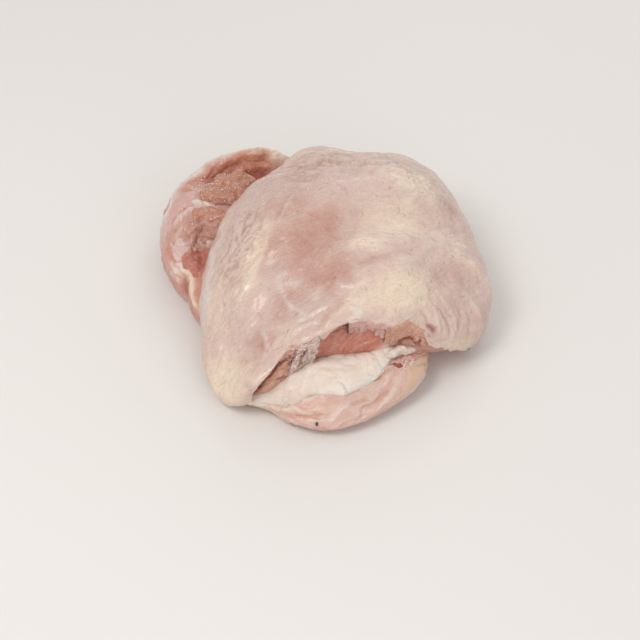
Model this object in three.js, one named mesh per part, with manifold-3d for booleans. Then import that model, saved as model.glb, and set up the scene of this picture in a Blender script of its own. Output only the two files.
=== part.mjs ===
// A raw boneless chicken breast with its skin on: the whole double breast, folded over on itself.
// The upper half lies skin side up over the lower half, whose flesh side shows at the back left,
// where a bone was cut out, and at the front, where the skin has torn over a band of white fat.
//
// Millimetres, +Z up, +X to the right of someone who faces the torn side, +Y away from them.
// The origin is the middle of the bounding box, on the surface that the meat lies on.

import * as THREE from 'three';
import { mergeVertices } from 'three/addons/utils/BufferGeometryUtils.js';
import Module from 'manifold-3d';

// Driving dimensions

const NODE_NAME = 'chicken_breast';
const SKIN_COLOUR = '#d9b8a6';
const SKIN_ROUGHNESS = 0.45;

const FLOOR_DEPTH = 40; // thickness of the block that trims the underside flat
const FLOOR_WIDTH = 400;
const SHORTEST_EDGE = 0.25; // slivers that the joins leave are closed up below this

// The two halves and the fat are rounded pads. Around its middle a pad has rings of values by
// bearing, in degrees anticlockwise from +X: [bearing, value].
const upperHalf = {
  fineness: 20,
  middle: [8, 0],
  // Reach of the pad's widest ring
  reach: [
    [0, 64], [15, 63], [30, 65], [46, 69], [62, 70], [84, 64], [100, 69], [110, 62.5], [121, 55.5],
    [136, 56], [152, 56.5], [170, 56.5], [190, 59], [205, 61.5], [218, 69], [229, 74], [240, 72.5],
    [254, 55.5], [267, 49.5], [281, 48], [297, 50], [311, 53.5], [326, 60], [342, 65],
  ],
  // Height of the widest ring
  girdle: [
    [0, 17], [30, 20], [60, 33], [90, 36.5], [110, 35.5], [130, 35], [150, 27], [170, 21], [190, 16],
    [210, 12], [230, 7.5], [243, 20], [255, 32], [268, 39], [283, 39], [297, 34], [311, 26],
    [326, 18], [342, 13.5],
  ],
  // Height that the underside has near the widest ring
  under: [
    [0, -8], [30, -8], [58, 0], [80, 12], [110, 17], [130, 17], [150, 14], [170, 6], [188, -8],
    [232, -8], [245, 2], [256, 16], [268, 25], [283, 27], [297, 23], [311, 10], [324, -8], [342, -8],
  ],
  underMiddle: -8,
  fullness: [[0, 2.5], [90, 2.7], [180, 2.4], [225, 2.2], [280, 2.8]],
  plateau: 45,
  // Swellings and hollows of the top: where, how far they spread along and across, their turn and height
  swells: [
    { at: [4, 26], spread: [46, 34], turn: 0, height: 11 },
    { at: [33, -24], spread: [24, 17], turn: -18, height: 6 },
    { at: [34, 5], spread: [34, 7], turn: 14, height: -3.5 },
    { at: [36, 34], spread: [20, 14], turn: -10, height: 3 },
    { at: [-50, -60], spread: [36, 30], turn: 0, height: -26 },
    { at: [-64, 4], spread: [24, 60], turn: 0, height: -12 },
    { at: [78, -38], spread: [34, 30], turn: 0, height: -20 },
    { at: [-12, -30], spread: [13, 20], turn: 25, height: -3 },
  ],
  // Folds of the skin: as a swelling, in waves whose crests run along it
  folds: [
    { at: [2, 50], spread: [38, 15], turn: 4, height: 0.8, pitch: 8.5 },
    { at: [52, -24], spread: [14, 16], turn: 62, height: 0.8, pitch: 8 },
    { at: [-40, 14], spread: [34, 10], turn: 72, height: 0.6, pitch: 7.5 },
    { at: [38, 38], spread: [20, 12], turn: -8, height: 0.5, pitch: 7 },
  ],
  // The torn lip's notches: the bearings between which they run, how far they cut in, their pitches
  notches: { from: 240, to: 322, depth: 1.1, pitches: [9, 23], edge: 8 },
};

const lowerHalf = {
  fineness: 17,
  middle: [-8, 0],
  reach: [
    [0, 58], [25, 60], [45, 63], [62, 62], [78, 64], [90, 72.5], [101, 79], [113, 81.5], [124, 83],
    [134, 81], [145, 74], [156, 66], [166, 57.5], [176, 49], [186, 46.5], [200, 44], [225, 52],
    [244, 61], [258, 62], [270, 69.5], [281, 73], [293, 72], [305, 70.5], [316, 69], [326, 64],
    [342, 57],
  ],
  girdle: [
    [0, 12], [60, 12], [82, 20], [97, 25.5], [108, 24], [122, 21.5], [145, 15], [170, 9], [200, 8],
    [240, 6], [270, 5], [300, 6], [320, 9],
  ],
  under: [[0, -8]],
  underMiddle: -8,
  fullness: [[0, 2.4], [110, 2.9], [160, 2.5], [230, 1.9], [270, 1.75], [310, 1.9]],
  plateau: 28,
  swells: [
    { at: [-30, 60], spread: [19, 6.5], turn: 12, height: -17 },
    { at: [-41, 42], spread: [15, 8], turn: 15, height: 3.5 },
    { at: [-49, 20], spread: [7.5, 14], turn: -4, height: -13 },
    { at: [-60, 44], spread: [8, 22], turn: -22, height: 3 },
    { at: [-30, 76], spread: [30, 9], turn: 4, height: 13.5 },
    { at: [20, -56], spread: [22, 8], turn: 20, height: -3 },
  ],
  folds: [
    { at: [2, -62], spread: [34, 9], turn: 4, height: 0.9, pitch: 7 },
    { at: [36, -48], spread: [14, 8], turn: 40, height: 0.7, pitch: 6.5 },
    { at: [-58, 30], spread: [24, 8], turn: 78, height: 0.7, pitch: 8 },
  ],
};

// The band of fat between the halves: half its length, depth and height, its middle, how far its
// middle bows towards the front, and the rise of its right end
const fatBand = {
  fineness: 8,
  half: [34, 10, 9.5],
  middle: [1, -50, 15],
  bow: 4,
  rise: 0.2,
};

// Shape functions

const radians = THREE.MathUtils.degToRad;

// A smooth closed curve through the values of a ring, as a cubic between each two of them.
function around(ring, bearing) {
  const count = ring.length;
  if (count === 1) return ring[0][1];
  const from = ring[0][0];
  const turned = from + THREE.MathUtils.euclideanModulo(bearing - from, 360);
  let i = ring.findIndex(([next]) => next > turned) - 1;
  if (i < 0) i = count - 1;
  const knot = (k) => {
    const lap = Math.floor((i + k) / count);
    const [where, value] = ring[i + k - lap * count];
    return [where + 360 * lap, value];
  };
  const [[b0, v0], [b1, v1], [b2, v2], [b3, v3]] = [knot(-1), knot(0), knot(1), knot(2)];
  const width = b2 - b1;
  const t = (turned - b1) / width;
  const slope1 = ((v2 - v0) / (b2 - b0)) * width;
  const slope2 = ((v3 - v1) / (b3 - b1)) * width;
  return (
    v1 * (2 * t ** 3 - 3 * t ** 2 + 1) +
    slope1 * (t ** 3 - 2 * t ** 2 + t) +
    v2 * (3 * t ** 2 - 2 * t ** 3) +
    slope2 * (t ** 3 - t ** 2)
  );
}

// Bell-shaped swelling over the plan, stretched along its turned axes. With a pitch, it is in waves.
function swelling(x, y, { at, spread, turn, height, pitch = Infinity }) {
  const c = Math.cos(radians(turn));
  const s = Math.sin(radians(turn));
  const along = (x - at[0]) * c + (y - at[1]) * s;
  const across = (y - at[1]) * c - (x - at[0]) * s;
  const bell = Math.exp(-((along / spread[0]) ** 2) - (across / spread[1]) ** 2);
  return height * bell * Math.cos((2 * Math.PI * across) / pitch);
}

const total = (forms, x, y) => forms.reduce((sum, form) => sum + swelling(x, y, form), 0);

// How far the notches cut in at a bearing: waves of two pitches that fade out towards both ends of
// the lip and away from its edge.
function notchDepth({ from, to, depth, pitches, edge }, bearing, share) {
  const turned = THREE.MathUtils.euclideanModulo(bearing, 360);
  if (turned < from || turned > to) return 0;
  const fade = Math.sin((Math.PI * (turned - from)) / (to - from)) * share ** edge;
  return depth * fade * pitches.reduce((sum, pitch) => sum + Math.cos((2 * Math.PI * turned) / pitch), 0);
}

// A rounded pad: each direction of the unit sphere gives one point. The direction's distance from the
// vertical sets the share of the reach, and its steepness the share of the way from the widest ring
// to the top or to the underside, both to a power that makes the side fuller than an ellipse.
function padPoint(pad, direction) {
  const bearing = THREE.MathUtils.radToDeg(Math.atan2(direction.y, direction.x));
  const power = 2 / around(pad.fullness, bearing);
  const share = Math.hypot(direction.x, direction.y) ** power;
  const steepness = Math.abs(direction.z) ** power;
  const notch = pad.notches ? notchDepth(pad.notches, bearing, share) : 0;
  const distance = share * (around(pad.reach, bearing) - notch);
  const x = pad.middle[0] + distance * Math.cos(radians(bearing));
  const y = pad.middle[1] + distance * Math.sin(radians(bearing));
  const girdle = around(pad.girdle, bearing);
  const top = pad.plateau + total(pad.swells, x, y) + total(pad.folds, x, y);
  const under = pad.underMiddle + (around(pad.under, bearing) - pad.underMiddle) * share ** 2;
  const end = direction.z > 0 ? top : under;
  return new THREE.Vector3(x, y, girdle + (end - girdle) * steepness);
}

// The fat is an ellipsoid, bowed towards the front in plan and tilted along its length.
function fatPoint(fat, direction) {
  const x = fat.half[0] * direction.x;
  const y = fat.half[1] * direction.y - fat.bow * (1 - direction.x ** 2);
  const z = fat.half[2] * direction.z + fat.rise * x;
  return new THREE.Vector3(x, y, z).add(new THREE.Vector3(...fat.middle));
}

// Construction

// A ball of even triangles with each corner moved to the point of its direction.
function shapedBall(fineness, point) {
  const ball = new THREE.IcosahedronGeometry(1, fineness);
  ball.deleteAttribute('normal');
  ball.deleteAttribute('uv');
  const joined = mergeVertices(ball);
  const corners = joined.getAttribute('position');
  const direction = new THREE.Vector3();
  for (let i = 0; i < corners.count; i++) {
    direction.fromBufferAttribute(corners, i).normalize();
    corners.setXYZ(i, ...point(direction));
  }
  return joined;
}

const wasm = await Module();
wasm.setup();

function solidOf(geometry) {
  const merged = mergeVertices(geometry);
  return new wasm.Manifold(
    new wasm.Mesh({
      numProp: 3,
      vertProperties: Float32Array.from(merged.getAttribute('position').array),
      triVerts: Uint32Array.from(merged.index.array),
    }),
  );
}

function geometryOf(solid) {
  const { vertProperties, triVerts } = solid.getMesh();
  return new THREE.BufferGeometry()
    .setAttribute('position', new THREE.BufferAttribute(vertProperties, 3))
    .setIndex(new THREE.BufferAttribute(triVerts, 1));
}

function floorBlock() {
  const block = new THREE.BoxGeometry(FLOOR_WIDTH, FLOOR_WIDTH, FLOOR_DEPTH);
  block.translate(0, 0, -FLOOR_DEPTH / 2);
  block.deleteAttribute('normal');
  block.deleteAttribute('uv');
  return block;
}

// Moves the geometry so that its bounding box is centred over the origin and stands on it.
function standOnOrigin(geometry) {
  geometry.computeBoundingBox();
  const centre = geometry.boundingBox.getCenter(new THREE.Vector3());
  return geometry.translate(-centre.x, -centre.y, -geometry.boundingBox.min.z);
}

function breastGeometry() {
  const upper = solidOf(shapedBall(upperHalf.fineness, (d) => padPoint(upperHalf, d)));
  const lower = solidOf(shapedBall(lowerHalf.fineness, (d) => padPoint(lowerHalf, d)));
  const fat = solidOf(shapedBall(fatBand.fineness, (d) => fatPoint(fatBand, d)));
  const whole = upper.add(lower).add(fat).subtract(solidOf(floorBlock()));
  return standOnOrigin(geometryOf(whole.simplify(SHORTEST_EDGE)));
}

const material = new THREE.MeshStandardMaterial({
  color: SKIN_COLOUR,
  roughness: SKIN_ROUGHNESS,
  metalness: 0,
});

const breast = new THREE.Mesh(breastGeometry(), material);
breast.name = NODE_NAME;

const part = new THREE.Group();
part.add(breast);

export default part;
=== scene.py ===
"""A raw boneless chicken breast with its skin on: the whole double breast, folded over on itself.

The upper half lies skin side up over the lower half. The skin has torn at the front, over a band of
white fat and red meat, and the flesh side shows at the back left. Shapes are worked out in
millimetres in the row frame, +Z up and -Y towards the torn side, and go into the meshes in metres.
"""

import itertools
import math

import bpy
import numpy as np
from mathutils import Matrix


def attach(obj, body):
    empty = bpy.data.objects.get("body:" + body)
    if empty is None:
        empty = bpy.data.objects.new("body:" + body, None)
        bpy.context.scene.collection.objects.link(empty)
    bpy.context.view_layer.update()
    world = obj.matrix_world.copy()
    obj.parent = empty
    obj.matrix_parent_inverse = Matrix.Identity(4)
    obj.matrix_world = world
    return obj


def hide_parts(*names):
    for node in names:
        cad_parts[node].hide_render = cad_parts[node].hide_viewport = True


bl_info = {
    "name": "Raw chicken breast",
    "version": (1, 0, 0),
    "blender": (4, 5, 0),
    "location": "3D View > Sidebar > Chicken",
    "description": "Builds a folded raw chicken breast: skin, flesh, fat, films, shreds and frost",
    "category": "Add Mesh",
}

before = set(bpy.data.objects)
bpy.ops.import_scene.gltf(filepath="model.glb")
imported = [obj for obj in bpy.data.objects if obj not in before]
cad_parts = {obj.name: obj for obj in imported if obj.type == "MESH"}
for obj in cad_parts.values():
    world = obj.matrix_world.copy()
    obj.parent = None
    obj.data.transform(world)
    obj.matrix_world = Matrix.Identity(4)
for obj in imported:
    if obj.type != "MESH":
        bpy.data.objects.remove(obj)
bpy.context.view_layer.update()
NODE = "chicken_breast"
BODY = "root"

MM = 0.001
# How far the solid was moved when its box was centred over the origin
CENTRING = np.array([-1.54, -2.93])
WHOLE_TURN = 360.0

# The two halves are rounded pads. Around its middle a pad has rings of values by bearing, in
# degrees anticlockwise from +X: [bearing, value].
UPPER_HALF = {
    "middle": (8, 0),
    "reach": [
        [0, 64], [15, 63], [30, 65], [46, 69], [62, 70], [84, 64], [100, 69], [110, 62.5],
        [121, 55.5], [136, 56], [152, 56.5], [170, 56.5], [190, 59], [205, 61.5], [218, 69],
        [229, 74], [240, 72.5], [254, 55.5], [267, 49.5], [281, 48], [297, 50], [311, 53.5],
        [326, 60], [342, 65],
    ],
    "girdle": [
        [0, 17], [30, 20], [60, 33], [90, 36.5], [110, 35.5], [130, 35], [150, 27], [170, 21],
        [190, 16], [210, 12], [230, 7.5], [243, 20], [255, 32], [268, 39], [283, 39], [297, 34],
        [311, 26], [326, 18], [342, 13.5],
    ],
    "under": [
        [0, -8], [30, -8], [58, 0], [80, 12], [110, 17], [130, 17], [150, 14], [170, 6],
        [188, -8], [232, -8], [245, 2], [256, 16], [268, 25], [283, 27], [297, 23], [311, 10],
        [324, -8], [342, -8],
    ],
    "under_middle": -8,
    "fullness": [[0, 2.5], [90, 2.7], [180, 2.4], [225, 2.2], [280, 2.8]],
    "plateau": 45,
    "swells": [
        {"at": (4, 26), "spread": (46, 34), "turn": 0, "height": 11},
        {"at": (33, -24), "spread": (24, 17), "turn": -18, "height": 6},
        {"at": (34, 5), "spread": (34, 7), "turn": 14, "height": -3.5},
        {"at": (36, 34), "spread": (20, 14), "turn": -10, "height": 3},
        {"at": (-50, -60), "spread": (36, 30), "turn": 0, "height": -26},
        {"at": (-64, 4), "spread": (24, 60), "turn": 0, "height": -12},
        {"at": (78, -38), "spread": (34, 30), "turn": 0, "height": -20},
        {"at": (-12, -30), "spread": (13, 20), "turn": 25, "height": -3},
        {"at": (2, 50), "spread": (38, 15), "turn": 4, "height": 0.8, "pitch": 8.5},
        {"at": (52, -24), "spread": (14, 16), "turn": 62, "height": 0.4, "pitch": 8},
    ],
}
LOWER_HALF = {
    "middle": (-8, 0),
    "reach": [
        [0, 58], [25, 60], [45, 63], [62, 62], [78, 64], [90, 72.5], [101, 79], [113, 81.5],
        [124, 83], [134, 81], [145, 74], [156, 66], [166, 57.5], [176, 49], [186, 46.5], [200, 44],
        [225, 52], [244, 61], [258, 62], [270, 69.5], [281, 73], [293, 72], [305, 70.5], [316, 69],
        [326, 64], [342, 57],
    ],
    "girdle": [
        [0, 12], [60, 12], [82, 20], [97, 25.5], [108, 24], [122, 21.5], [145, 15], [170, 9],
        [200, 8], [240, 6], [270, 5], [300, 6], [320, 9],
    ],
    "under": [[0, -8]],
    "under_middle": -8,
    "fullness": [[0, 2.4], [110, 2.9], [160, 2.5], [230, 1.9], [270, 1.75], [310, 1.9]],
    "plateau": 28,
    "swells": [
        {"at": (-28, 66), "spread": (19, 5), "turn": 10, "height": -14},
        {"at": (-38, 55), "spread": (11, 5), "turn": 12, "height": 5},
        {"at": (-43, 44), "spread": (15, 8), "turn": 15, "height": 2},
        {"at": (-49, 20), "spread": (7.5, 14), "turn": -4, "height": -13},
        {"at": (-60, 44), "spread": (8, 22), "turn": -22, "height": 3},
        {"at": (-30, 76), "spread": (30, 9), "turn": 4, "height": 13.5},
        {"at": (20, -56), "spread": (22, 8), "turn": 20, "height": -3},
    ],
}

# Skin: the polar angle of its edge by bearing. The edge is tucked under, except at the front,
# where it is torn from TORN_FROM to TORN_TO; the tear climbs steeply at its left end.
SKIN_EDGE = [
    [0, 128], [60, 128], [120, 128], [180, 128], [225, 128], [233, 124], [236, 116], [238, 110],
    [240, 104], [241.5, 96], [243, 89], [244.5, 84], [246, 76], [247.2, 69], [248.4, 66],
    [250, 68], [252, 77], [254, 87], [256, 93], [258, 96], [260, 94], [262, 95], [263.5, 98],
    [266, 93.5], [268, 91.5], [270, 89], [272, 83], [274, 80], [276, 84], [278, 80],
    [280, 78], [283, 82], [286, 90], [290, 92], [294, 90], [299, 84], [304, 76], [306, 75.5],
    [308, 80], [310, 86], [312, 95], [314, 99], [318, 98], [322, 97], [327, 99], [332, 101],
    [336, 110], [341, 128],
]
TORN_FROM, TORN_TO = 240.0, 333.0
SKIN_COLUMNS, SKIN_ROWS, LIP_ROWS, INNER_ROWS = 780, 106, 6, 8
INNER_REACH = 12.0  # degrees of polar angle that the skin's inner side runs back from its lip
SKIN_CLOSES_AT = (6.0, 0.0, 26.0)  # point inside the meat on which the skin's inner side closes

# Creased zones of the skin: middle, spread along and across and up, turn in plan, the direction
# that the creases run in, their pitch, how long they are for their pitch, their height, and how
# dark the painted shade in their valleys is
SKIN_CREASES = [
    {"at": (-33, 0, 38), "spread": (9, 22, 20), "turn": -18, "along": (0.42, 0.82, 0.37),
     "pitch": 2.4, "length": 6.5, "height": 0.6, "valley_shade": 1.4},
    {"at": (-36, -34, 26), "spread": (10, 24, 20), "turn": -18, "along": (0.3, 0.86, 0.4),
     "pitch": 4.4, "length": 5, "height": 0.6, "valley_shade": 0.25},
    {"at": (-6, 38, 52), "spread": (26, 14, 18), "turn": 0, "along": (1, -0.15, 0),
     "pitch": 3.2, "length": 5, "height": 1.2, "valley_shade": 1.1},
    {"at": (30, 36, 50), "spread": (20, 11, 16), "turn": -12, "along": (1, -0.28, 0),
     "pitch": 2.2, "length": 6, "height": 0.55, "valley_shade": 0.8},
    {"at": (38, 20, 47), "spread": (17, 15, 16), "turn": 0, "along": (1, -0.3, -0.1),
     "pitch": 2.8, "length": 3.5, "height": 0.35, "valley_shade": 0.15},
    {"at": (49, -32, 25), "spread": (10, 12, 18), "turn": 0, "along": (0.25, -0.42, -0.87),
     "pitch": 3.6, "length": 4, "height": 0.55, "valley_shade": 0.5},
    {"at": (-30, -52, 20), "spread": (12, 12, 14), "turn": 0, "along": (0.7, -0.5, -0.5),
     "pitch": 4.0, "length": 3, "height": 0.45, "valley_shade": 0.3},
    {"at": (-8, -42, 37), "spread": (16, 9, 12), "turn": 10, "along": (0.9, -0.3, 0.3),
     "pitch": 4.5, "length": 3, "height": 0.5, "valley_shade": 0.3},
    {"at": (-16, 14, 50), "spread": (14, 14, 14), "turn": 0, "along": (0.8, 0.5, 0.2),
     "pitch": 3.6, "length": 3, "height": 0.5, "valley_shade": 0.35},
]

# Single lines of the skin: points by bearing and polar angle, half width, height, tint, strength
SKIN_LINES = [
    # Crease lines are sunk as grooves and darkened with painted shade.
    ([(111, 32), (108, 26), (100, 29), (92, 30), (84, 32), (81, 34)], 1.3, -1.0, "crease_shade", 0.6),
    ([(124, 44), (123, 31), (116, 22), (106, 18)], 1.2, -0.9, "crease_shade", 0.6),
    ([(106, 35), (96, 40), (86, 46), (80, 38)], 1.4, -1.0, "crease_shade", 0.5),
    ([(79, 31), (68, 31), (62, 36), (58, 48)], 1.3, -0.8, "crease_shade", 0.5),
    ([(120, 44), (118, 32), (112, 23), (103, 22)], 1.1, -0.6, "crease_shade", 0.5),
    ([(133, 30), (128, 22), (119, 16)], 1.1, -0.6, "crease_shade", 0.4),
    ([(96, 21), (84, 23), (72, 23), (61, 26)], 1.4, -0.6, "crease_shade", 0.4),
    ([(258, 14), (280, 17), (297, 20), (315, 20), (337, 21), (358, 28)], 2.4, -0.9, "flush", 0.5),
    ([(261, 86), (266, 64), (274, 51), (281, 38), (291, 34), (302, 32)], 1.8, 0.8, "fat", 0.9),
    ([(264, 80), (262, 64), (269, 50), (276, 37)], 3.0, -0.5, "flush", 0.4),
    ([(313, 77), (315, 79), (315.5, 83)], 1.2, -0.6, "blood_and_hole_shade", 1.2),
    # Pale lines are raised ridges, lightened partly as painted highlights and glints.
    ([(341, 52), (340, 66), (337, 82)], 1.6, 0.7, "pale_and_highlight", 0.6),
    ([(247, 40), (256, 47), (266, 46)], 1.0, 0.5, "pale_and_highlight", 0.7),
    ([(268, 30), (276, 35), (288, 33)], 0.9, 0.4, "pale_and_highlight", 0.6),
    ([(196, 30), (206, 38), (212, 48)], 0.8, 0.4, "pale_and_highlight", 0.5),
    ([(135, 22), (150, 20), (168, 22)], 1.0, 0.4, "pale_and_highlight", 0.6),
    ([(60, 20), (74, 15), (98, 13)], 0.9, 0.4, "pale_and_highlight", 0.6),
    ([(334, 54), (332, 63), (328, 72), (324, 84)], 1.0, -0.7, "crease_shade", 0.5),
    ([(324, 54), (323, 64), (322, 72), (321, 86)], 0.9, -0.6, "crease_shade", 0.5),
    ([(314, 58), (314, 66), (313, 81)], 0.9, -0.5, "crease_shade", 0.5),
    ([(336, 60), (333, 74), (330, 89), (328, 96)], 1.1, -0.6, "crease_shade", 0.4),
    ([(329, 56), (327, 66), (325, 78), (322, 88)], 1.0, 0.8, "pale_and_highlight", 0.7),
    ([(319, 60), (318, 70), (317, 84)], 0.9, 0.8, "pale_and_highlight", 0.6),
    ([(356, 43), (356, 54), (354, 66), (352, 79)], 2.6, 1.0, "fat", 1.0),
    ([(347, 48), (346, 61), (346, 80), (350, 96)], 3.0, -0.9, "veil", 1.0),
    ([(4, 44), (3, 58), (2, 72), (-2, 88)], 2.6, -0.5, "veil", 0.9),
    ([(220, 25), (231, 26), (243, 31), (252, 42)], 0.8, 0.4, "pale_and_highlight", 0.9),
    ([(231, 39), (237, 43), (242, 52)], 0.8, 0.4, "pale_and_highlight", 0.8),
    ([(242, 100), (240, 82), (237, 66)], 1.5, -0.7, "crease_shade", 0.5),
    ([(181, 14), (205, 12), (233, 8)], 0.8, -0.3, "crease_shade", 0.5),
    ([(249, 50), (256, 56), (262, 62)], 0.9, 0.5, "pale_and_highlight", 0.8),
]

# Where the skin takes each tint: middle, spread along and across and up, turn, strength
SKIN_FAT = [
    ((-38, -56, 12), (17, 13, 18), 0, 1.0),
    ((-44, -30, 25), (7, 26, 16), -8, 0.5),
    ((-27, -10, 40), (4.5, 32, 20), -20, 0.9),
    ((32, 4, 48), (17, 12, 14), 12, 0.8),
    ((17, -11, 50), (9, 7, 10), 0, 1.1),
    ((36, 28, 48), (17, 11, 12), -10, 0.9),
    ((33, -34, 42), (20, 11, 12), 18, 1.1),
    ((15, -42, 43), (9, 7, 8), 0, 0.9),
    ((57, -2, 36), (12, 4, 12), -50, 0.9),
    ((60, -18, 28), (4, 9, 10), 10, 0.7),
    ((48, -38, 15), (14, 7, 10), 20, 0.8),
    ((-12, -50, 33), (16, 7, 8), 10, 0.5),
    ((0, 52, 46), (24, 5, 8), 0, 0.7),
]
SKIN_FLUSH = [
    ((2, -3, 50), (13, 14, 14), 0, 1.05),
    ((-8, -11, 46), (19, 19, 16), 0, 1.0),
    ((1, -27, 46), (16, 12, 12), 20, 1.0),
    ((-13, 10, 51), (16, 11, 14), 0, 0.8),
    ((-12, -34, 38), (16, 9, 12), 30, 0.8),
    ((54, 22, 38), (5, 9, 10), 0, 1.0),
    ((56, -14, 30), (5, 12, 12), 0, 0.6),
    ((68, -22, 20), (6, 12, 10), 0, 0.7),
    ((-24, -49, 26), (8, 7, 8), 0, 1.0),
    ((-29, -53, 23), (5, 5, 7), 0, 0.7),
    ((-5, -36, 40), (11, 6, 8), 0, 0.6),
    ((-20, -8, 44), (7, 18, 12), -10, 0.5),
    ((8, 40, 51), (26, 8, 12), 0, 0.4),
    ((32, -12, 46), (16, 3, 8), 14, 0.4),
    ((48, -20, 36), (5, 9, 10), -30, 0.6),
]
SKIN_VEIL = [
    ((4, 19, 55), (14, 10, 12), 0, 1.2),
    ((-34, -44, 24), (8, 9, 10), 0, 0.7),
    ((62, -14, 26), (6, 12, 14), -10, 1.0),
    ((56, 10, 36), (6, 20, 12), 0, 0.9),
    ((-4, -41, 39), (12, 6, 10), 0, 0.8),
    ((-18, 26, 50), (16, 14, 14), 0, 1.0),
    ((-28, 28, 44), (14, 9, 12), 0, 0.9),
    ((-20, -18, 40), (9, 7, 10), 30, 0.8),
    ((-10, -38, 37), (8, 6, 8), 0, 0.9),
    ((50, -18, 36), (7, 4, 10), -30, 0.8),
    ((67, -30, 14), (6, 10, 10), 0, 0.8),
]
# Pale patches, partly painted highlights, most of all the long strip down the left edge.
SKIN_PALE_AND_HIGHLIGHT = [
    ((-47, -8, 28), (3.5, 40, 22), -6, 0.9),
    ((13, -47, 42), (3, 4, 4), 0, 1.3),
    ((-2, -36, 41), (9, 5, 6), 30, 0.6),
    ((8, -5, 50), (4, 12, 8), 10, 0.4),
    ((-18, -22, 42), (5, 3, 6), 30, 0.8),
    ((16, 40, 52), (26, 6, 8), 0, 0.7),
    ((-12, -28, 40), (4, 2.5, 6), 0, 0.8),
    ((34, -18, 46), (12, 4, 8), 14, 0.5),
    ((-20, 36, 48), (9, 4, 8), 0, 0.7),
    ((18, 42, 50), (16, 9, 8), 0, 0.6),
    ((66, -16, 20), (6, 12, 12), 0, 0.6),
]

# The lower half: rows of its grid and where the dense ones lie, and how far it stays off the floor
LOWER_COLUMNS = 716
LOWER_LIFT = 0.12  # also half of how far the meat stays off it
LOWER_POLAR = [(0.0, 48.0, 12), (48.0, 118.0, 118), (118.0, 180.0, 8)]

# Layers of the lower half's front rim, whose ridges fan out from its right end, and its tinted
# zones: each line as for the skin, with a groove a few degrees below each ridge
RIM_LINES = [
    ([(252, 88), (257, 87), (261, 84), (266, 78), (270, 74), (273, 73)], 1.7, 0.8, "fat", 1.2),
    # Pale lines on the rim's ridges are partly painted highlights.
    ([(276, 79), (280, 77), (283, 73), (286, 71), (289, 68)], 1.3, 0.5, "pale_and_highlight", 0.8),
    ([(291, 73), (296, 70), (300, 67), (304, 65), (308, 62)], 1.2, 0.5, "pale_and_highlight", 0.6),
    ([(296, 86), (299, 82), (302, 78), (305, 74), (308, 69), (311, 66)], 1.4, 0.5, "pale_and_highlight", 0.6),
    ([(266, 90), (272, 88), (279, 86), (285, 82), (288, 79)], 1.5, 0.5, "veil", 0.7),
    ([(292, 85), (296, 83), (301, 81), (306, 80)], 1.7, 0.6, "fat", 0.9),
    ([(283, 94), (290, 92), (298, 88), (306, 86)], 1.6, 0.5, "veil", 0.7),
    ([(268, 64), (270, 67), (273, 66), (276, 62)], 1.1, 0.4, "pale_and_highlight", 0.7),
    ([(280, 58), (279, 62), (279, 67)], 1.0, 0.2, "pale_and_highlight", 0.6),
    ([(264, 82), (268, 79), (273, 76.5), (277, 76), (281, 74.5), (286, 74)],
     0.8, -0.9, "rust", 1.1),
    ([(286, 73), (289, 71), (292, 70), (295, 70), (299, 68), (303, 67)], 0.8, -1.0, "rust", 0.9),
    ([(296, 76), (299, 74), (302, 73), (306, 70)], 0.8, -0.8, "rust", 0.7),
    ([(288, 90), (290, 84), (292, 78), (295, 76), (298, 74)], 0.9, -0.8, "rose", 0.9),
    ([(259, 95), (262, 92), (267, 85), (270, 87), (273, 92)], 0.9, -0.6, "rose", 0.8),
    ([(299, 60), (302, 61), (306, 62), (310, 62)], 0.7, -0.7, "rust", 0.9),
    ([(312, 70), (316, 72), (319, 76), (321, 82)], 0.8, -0.6, "rust", 0.6),
]
RIM_ZONES = [
    ([(302, 58), (307, 60), (312, 61), (317, 63)], 2.2, 0.4, "frost", 0.6),
    ([(300, 61), (306, 64), (312, 65), (317, 66)], 2.6, 0.0, "rose", 0.9),
    ([(308, 59), (311, 60), (313, 62)], 1.4, 0.0, "red", 1.4),
    ([(304, 52), (308, 54), (313, 54), (318, 57)], 2.2, 0.2, "rose", 0.9),
    ([(301, 78), (307, 77), (312, 77), (317, 78), (322, 78), (325, 73)], 2.6, 0.4, "tan", 1.3),
    ([(315, 62), (320, 66), (323, 72), (324, 79)], 2.4, 0.4, "tan", 1.2),
    ([(270, 70), (274, 67), (278, 65), (282, 66), (287, 67)], 3.4, 0.2, "rose", 1.1),
    ([(250, 90), (255, 93), (260, 96), (266, 97)], 3.4, 0.0, "fat", 1.1),
    ([(270, 96), (278, 98), (288, 96), (298, 92)], 3.4, 0.0, "rose", 0.5),
    # A small dark dent: painted shade in a hole.
    ([(299, 60), (300, 60.5), (301, 60)], 1.0, -0.6, "dark_red_and_hollow_shade", 0.9),
    ([(270, 44), (278, 41), (286, 41), (294, 42), (300, 43)], 4.4, 0.0, "red", 1.3),
]
GROOVE_GAP, GROOVE_SHARE = 3.8, 0.7

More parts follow.
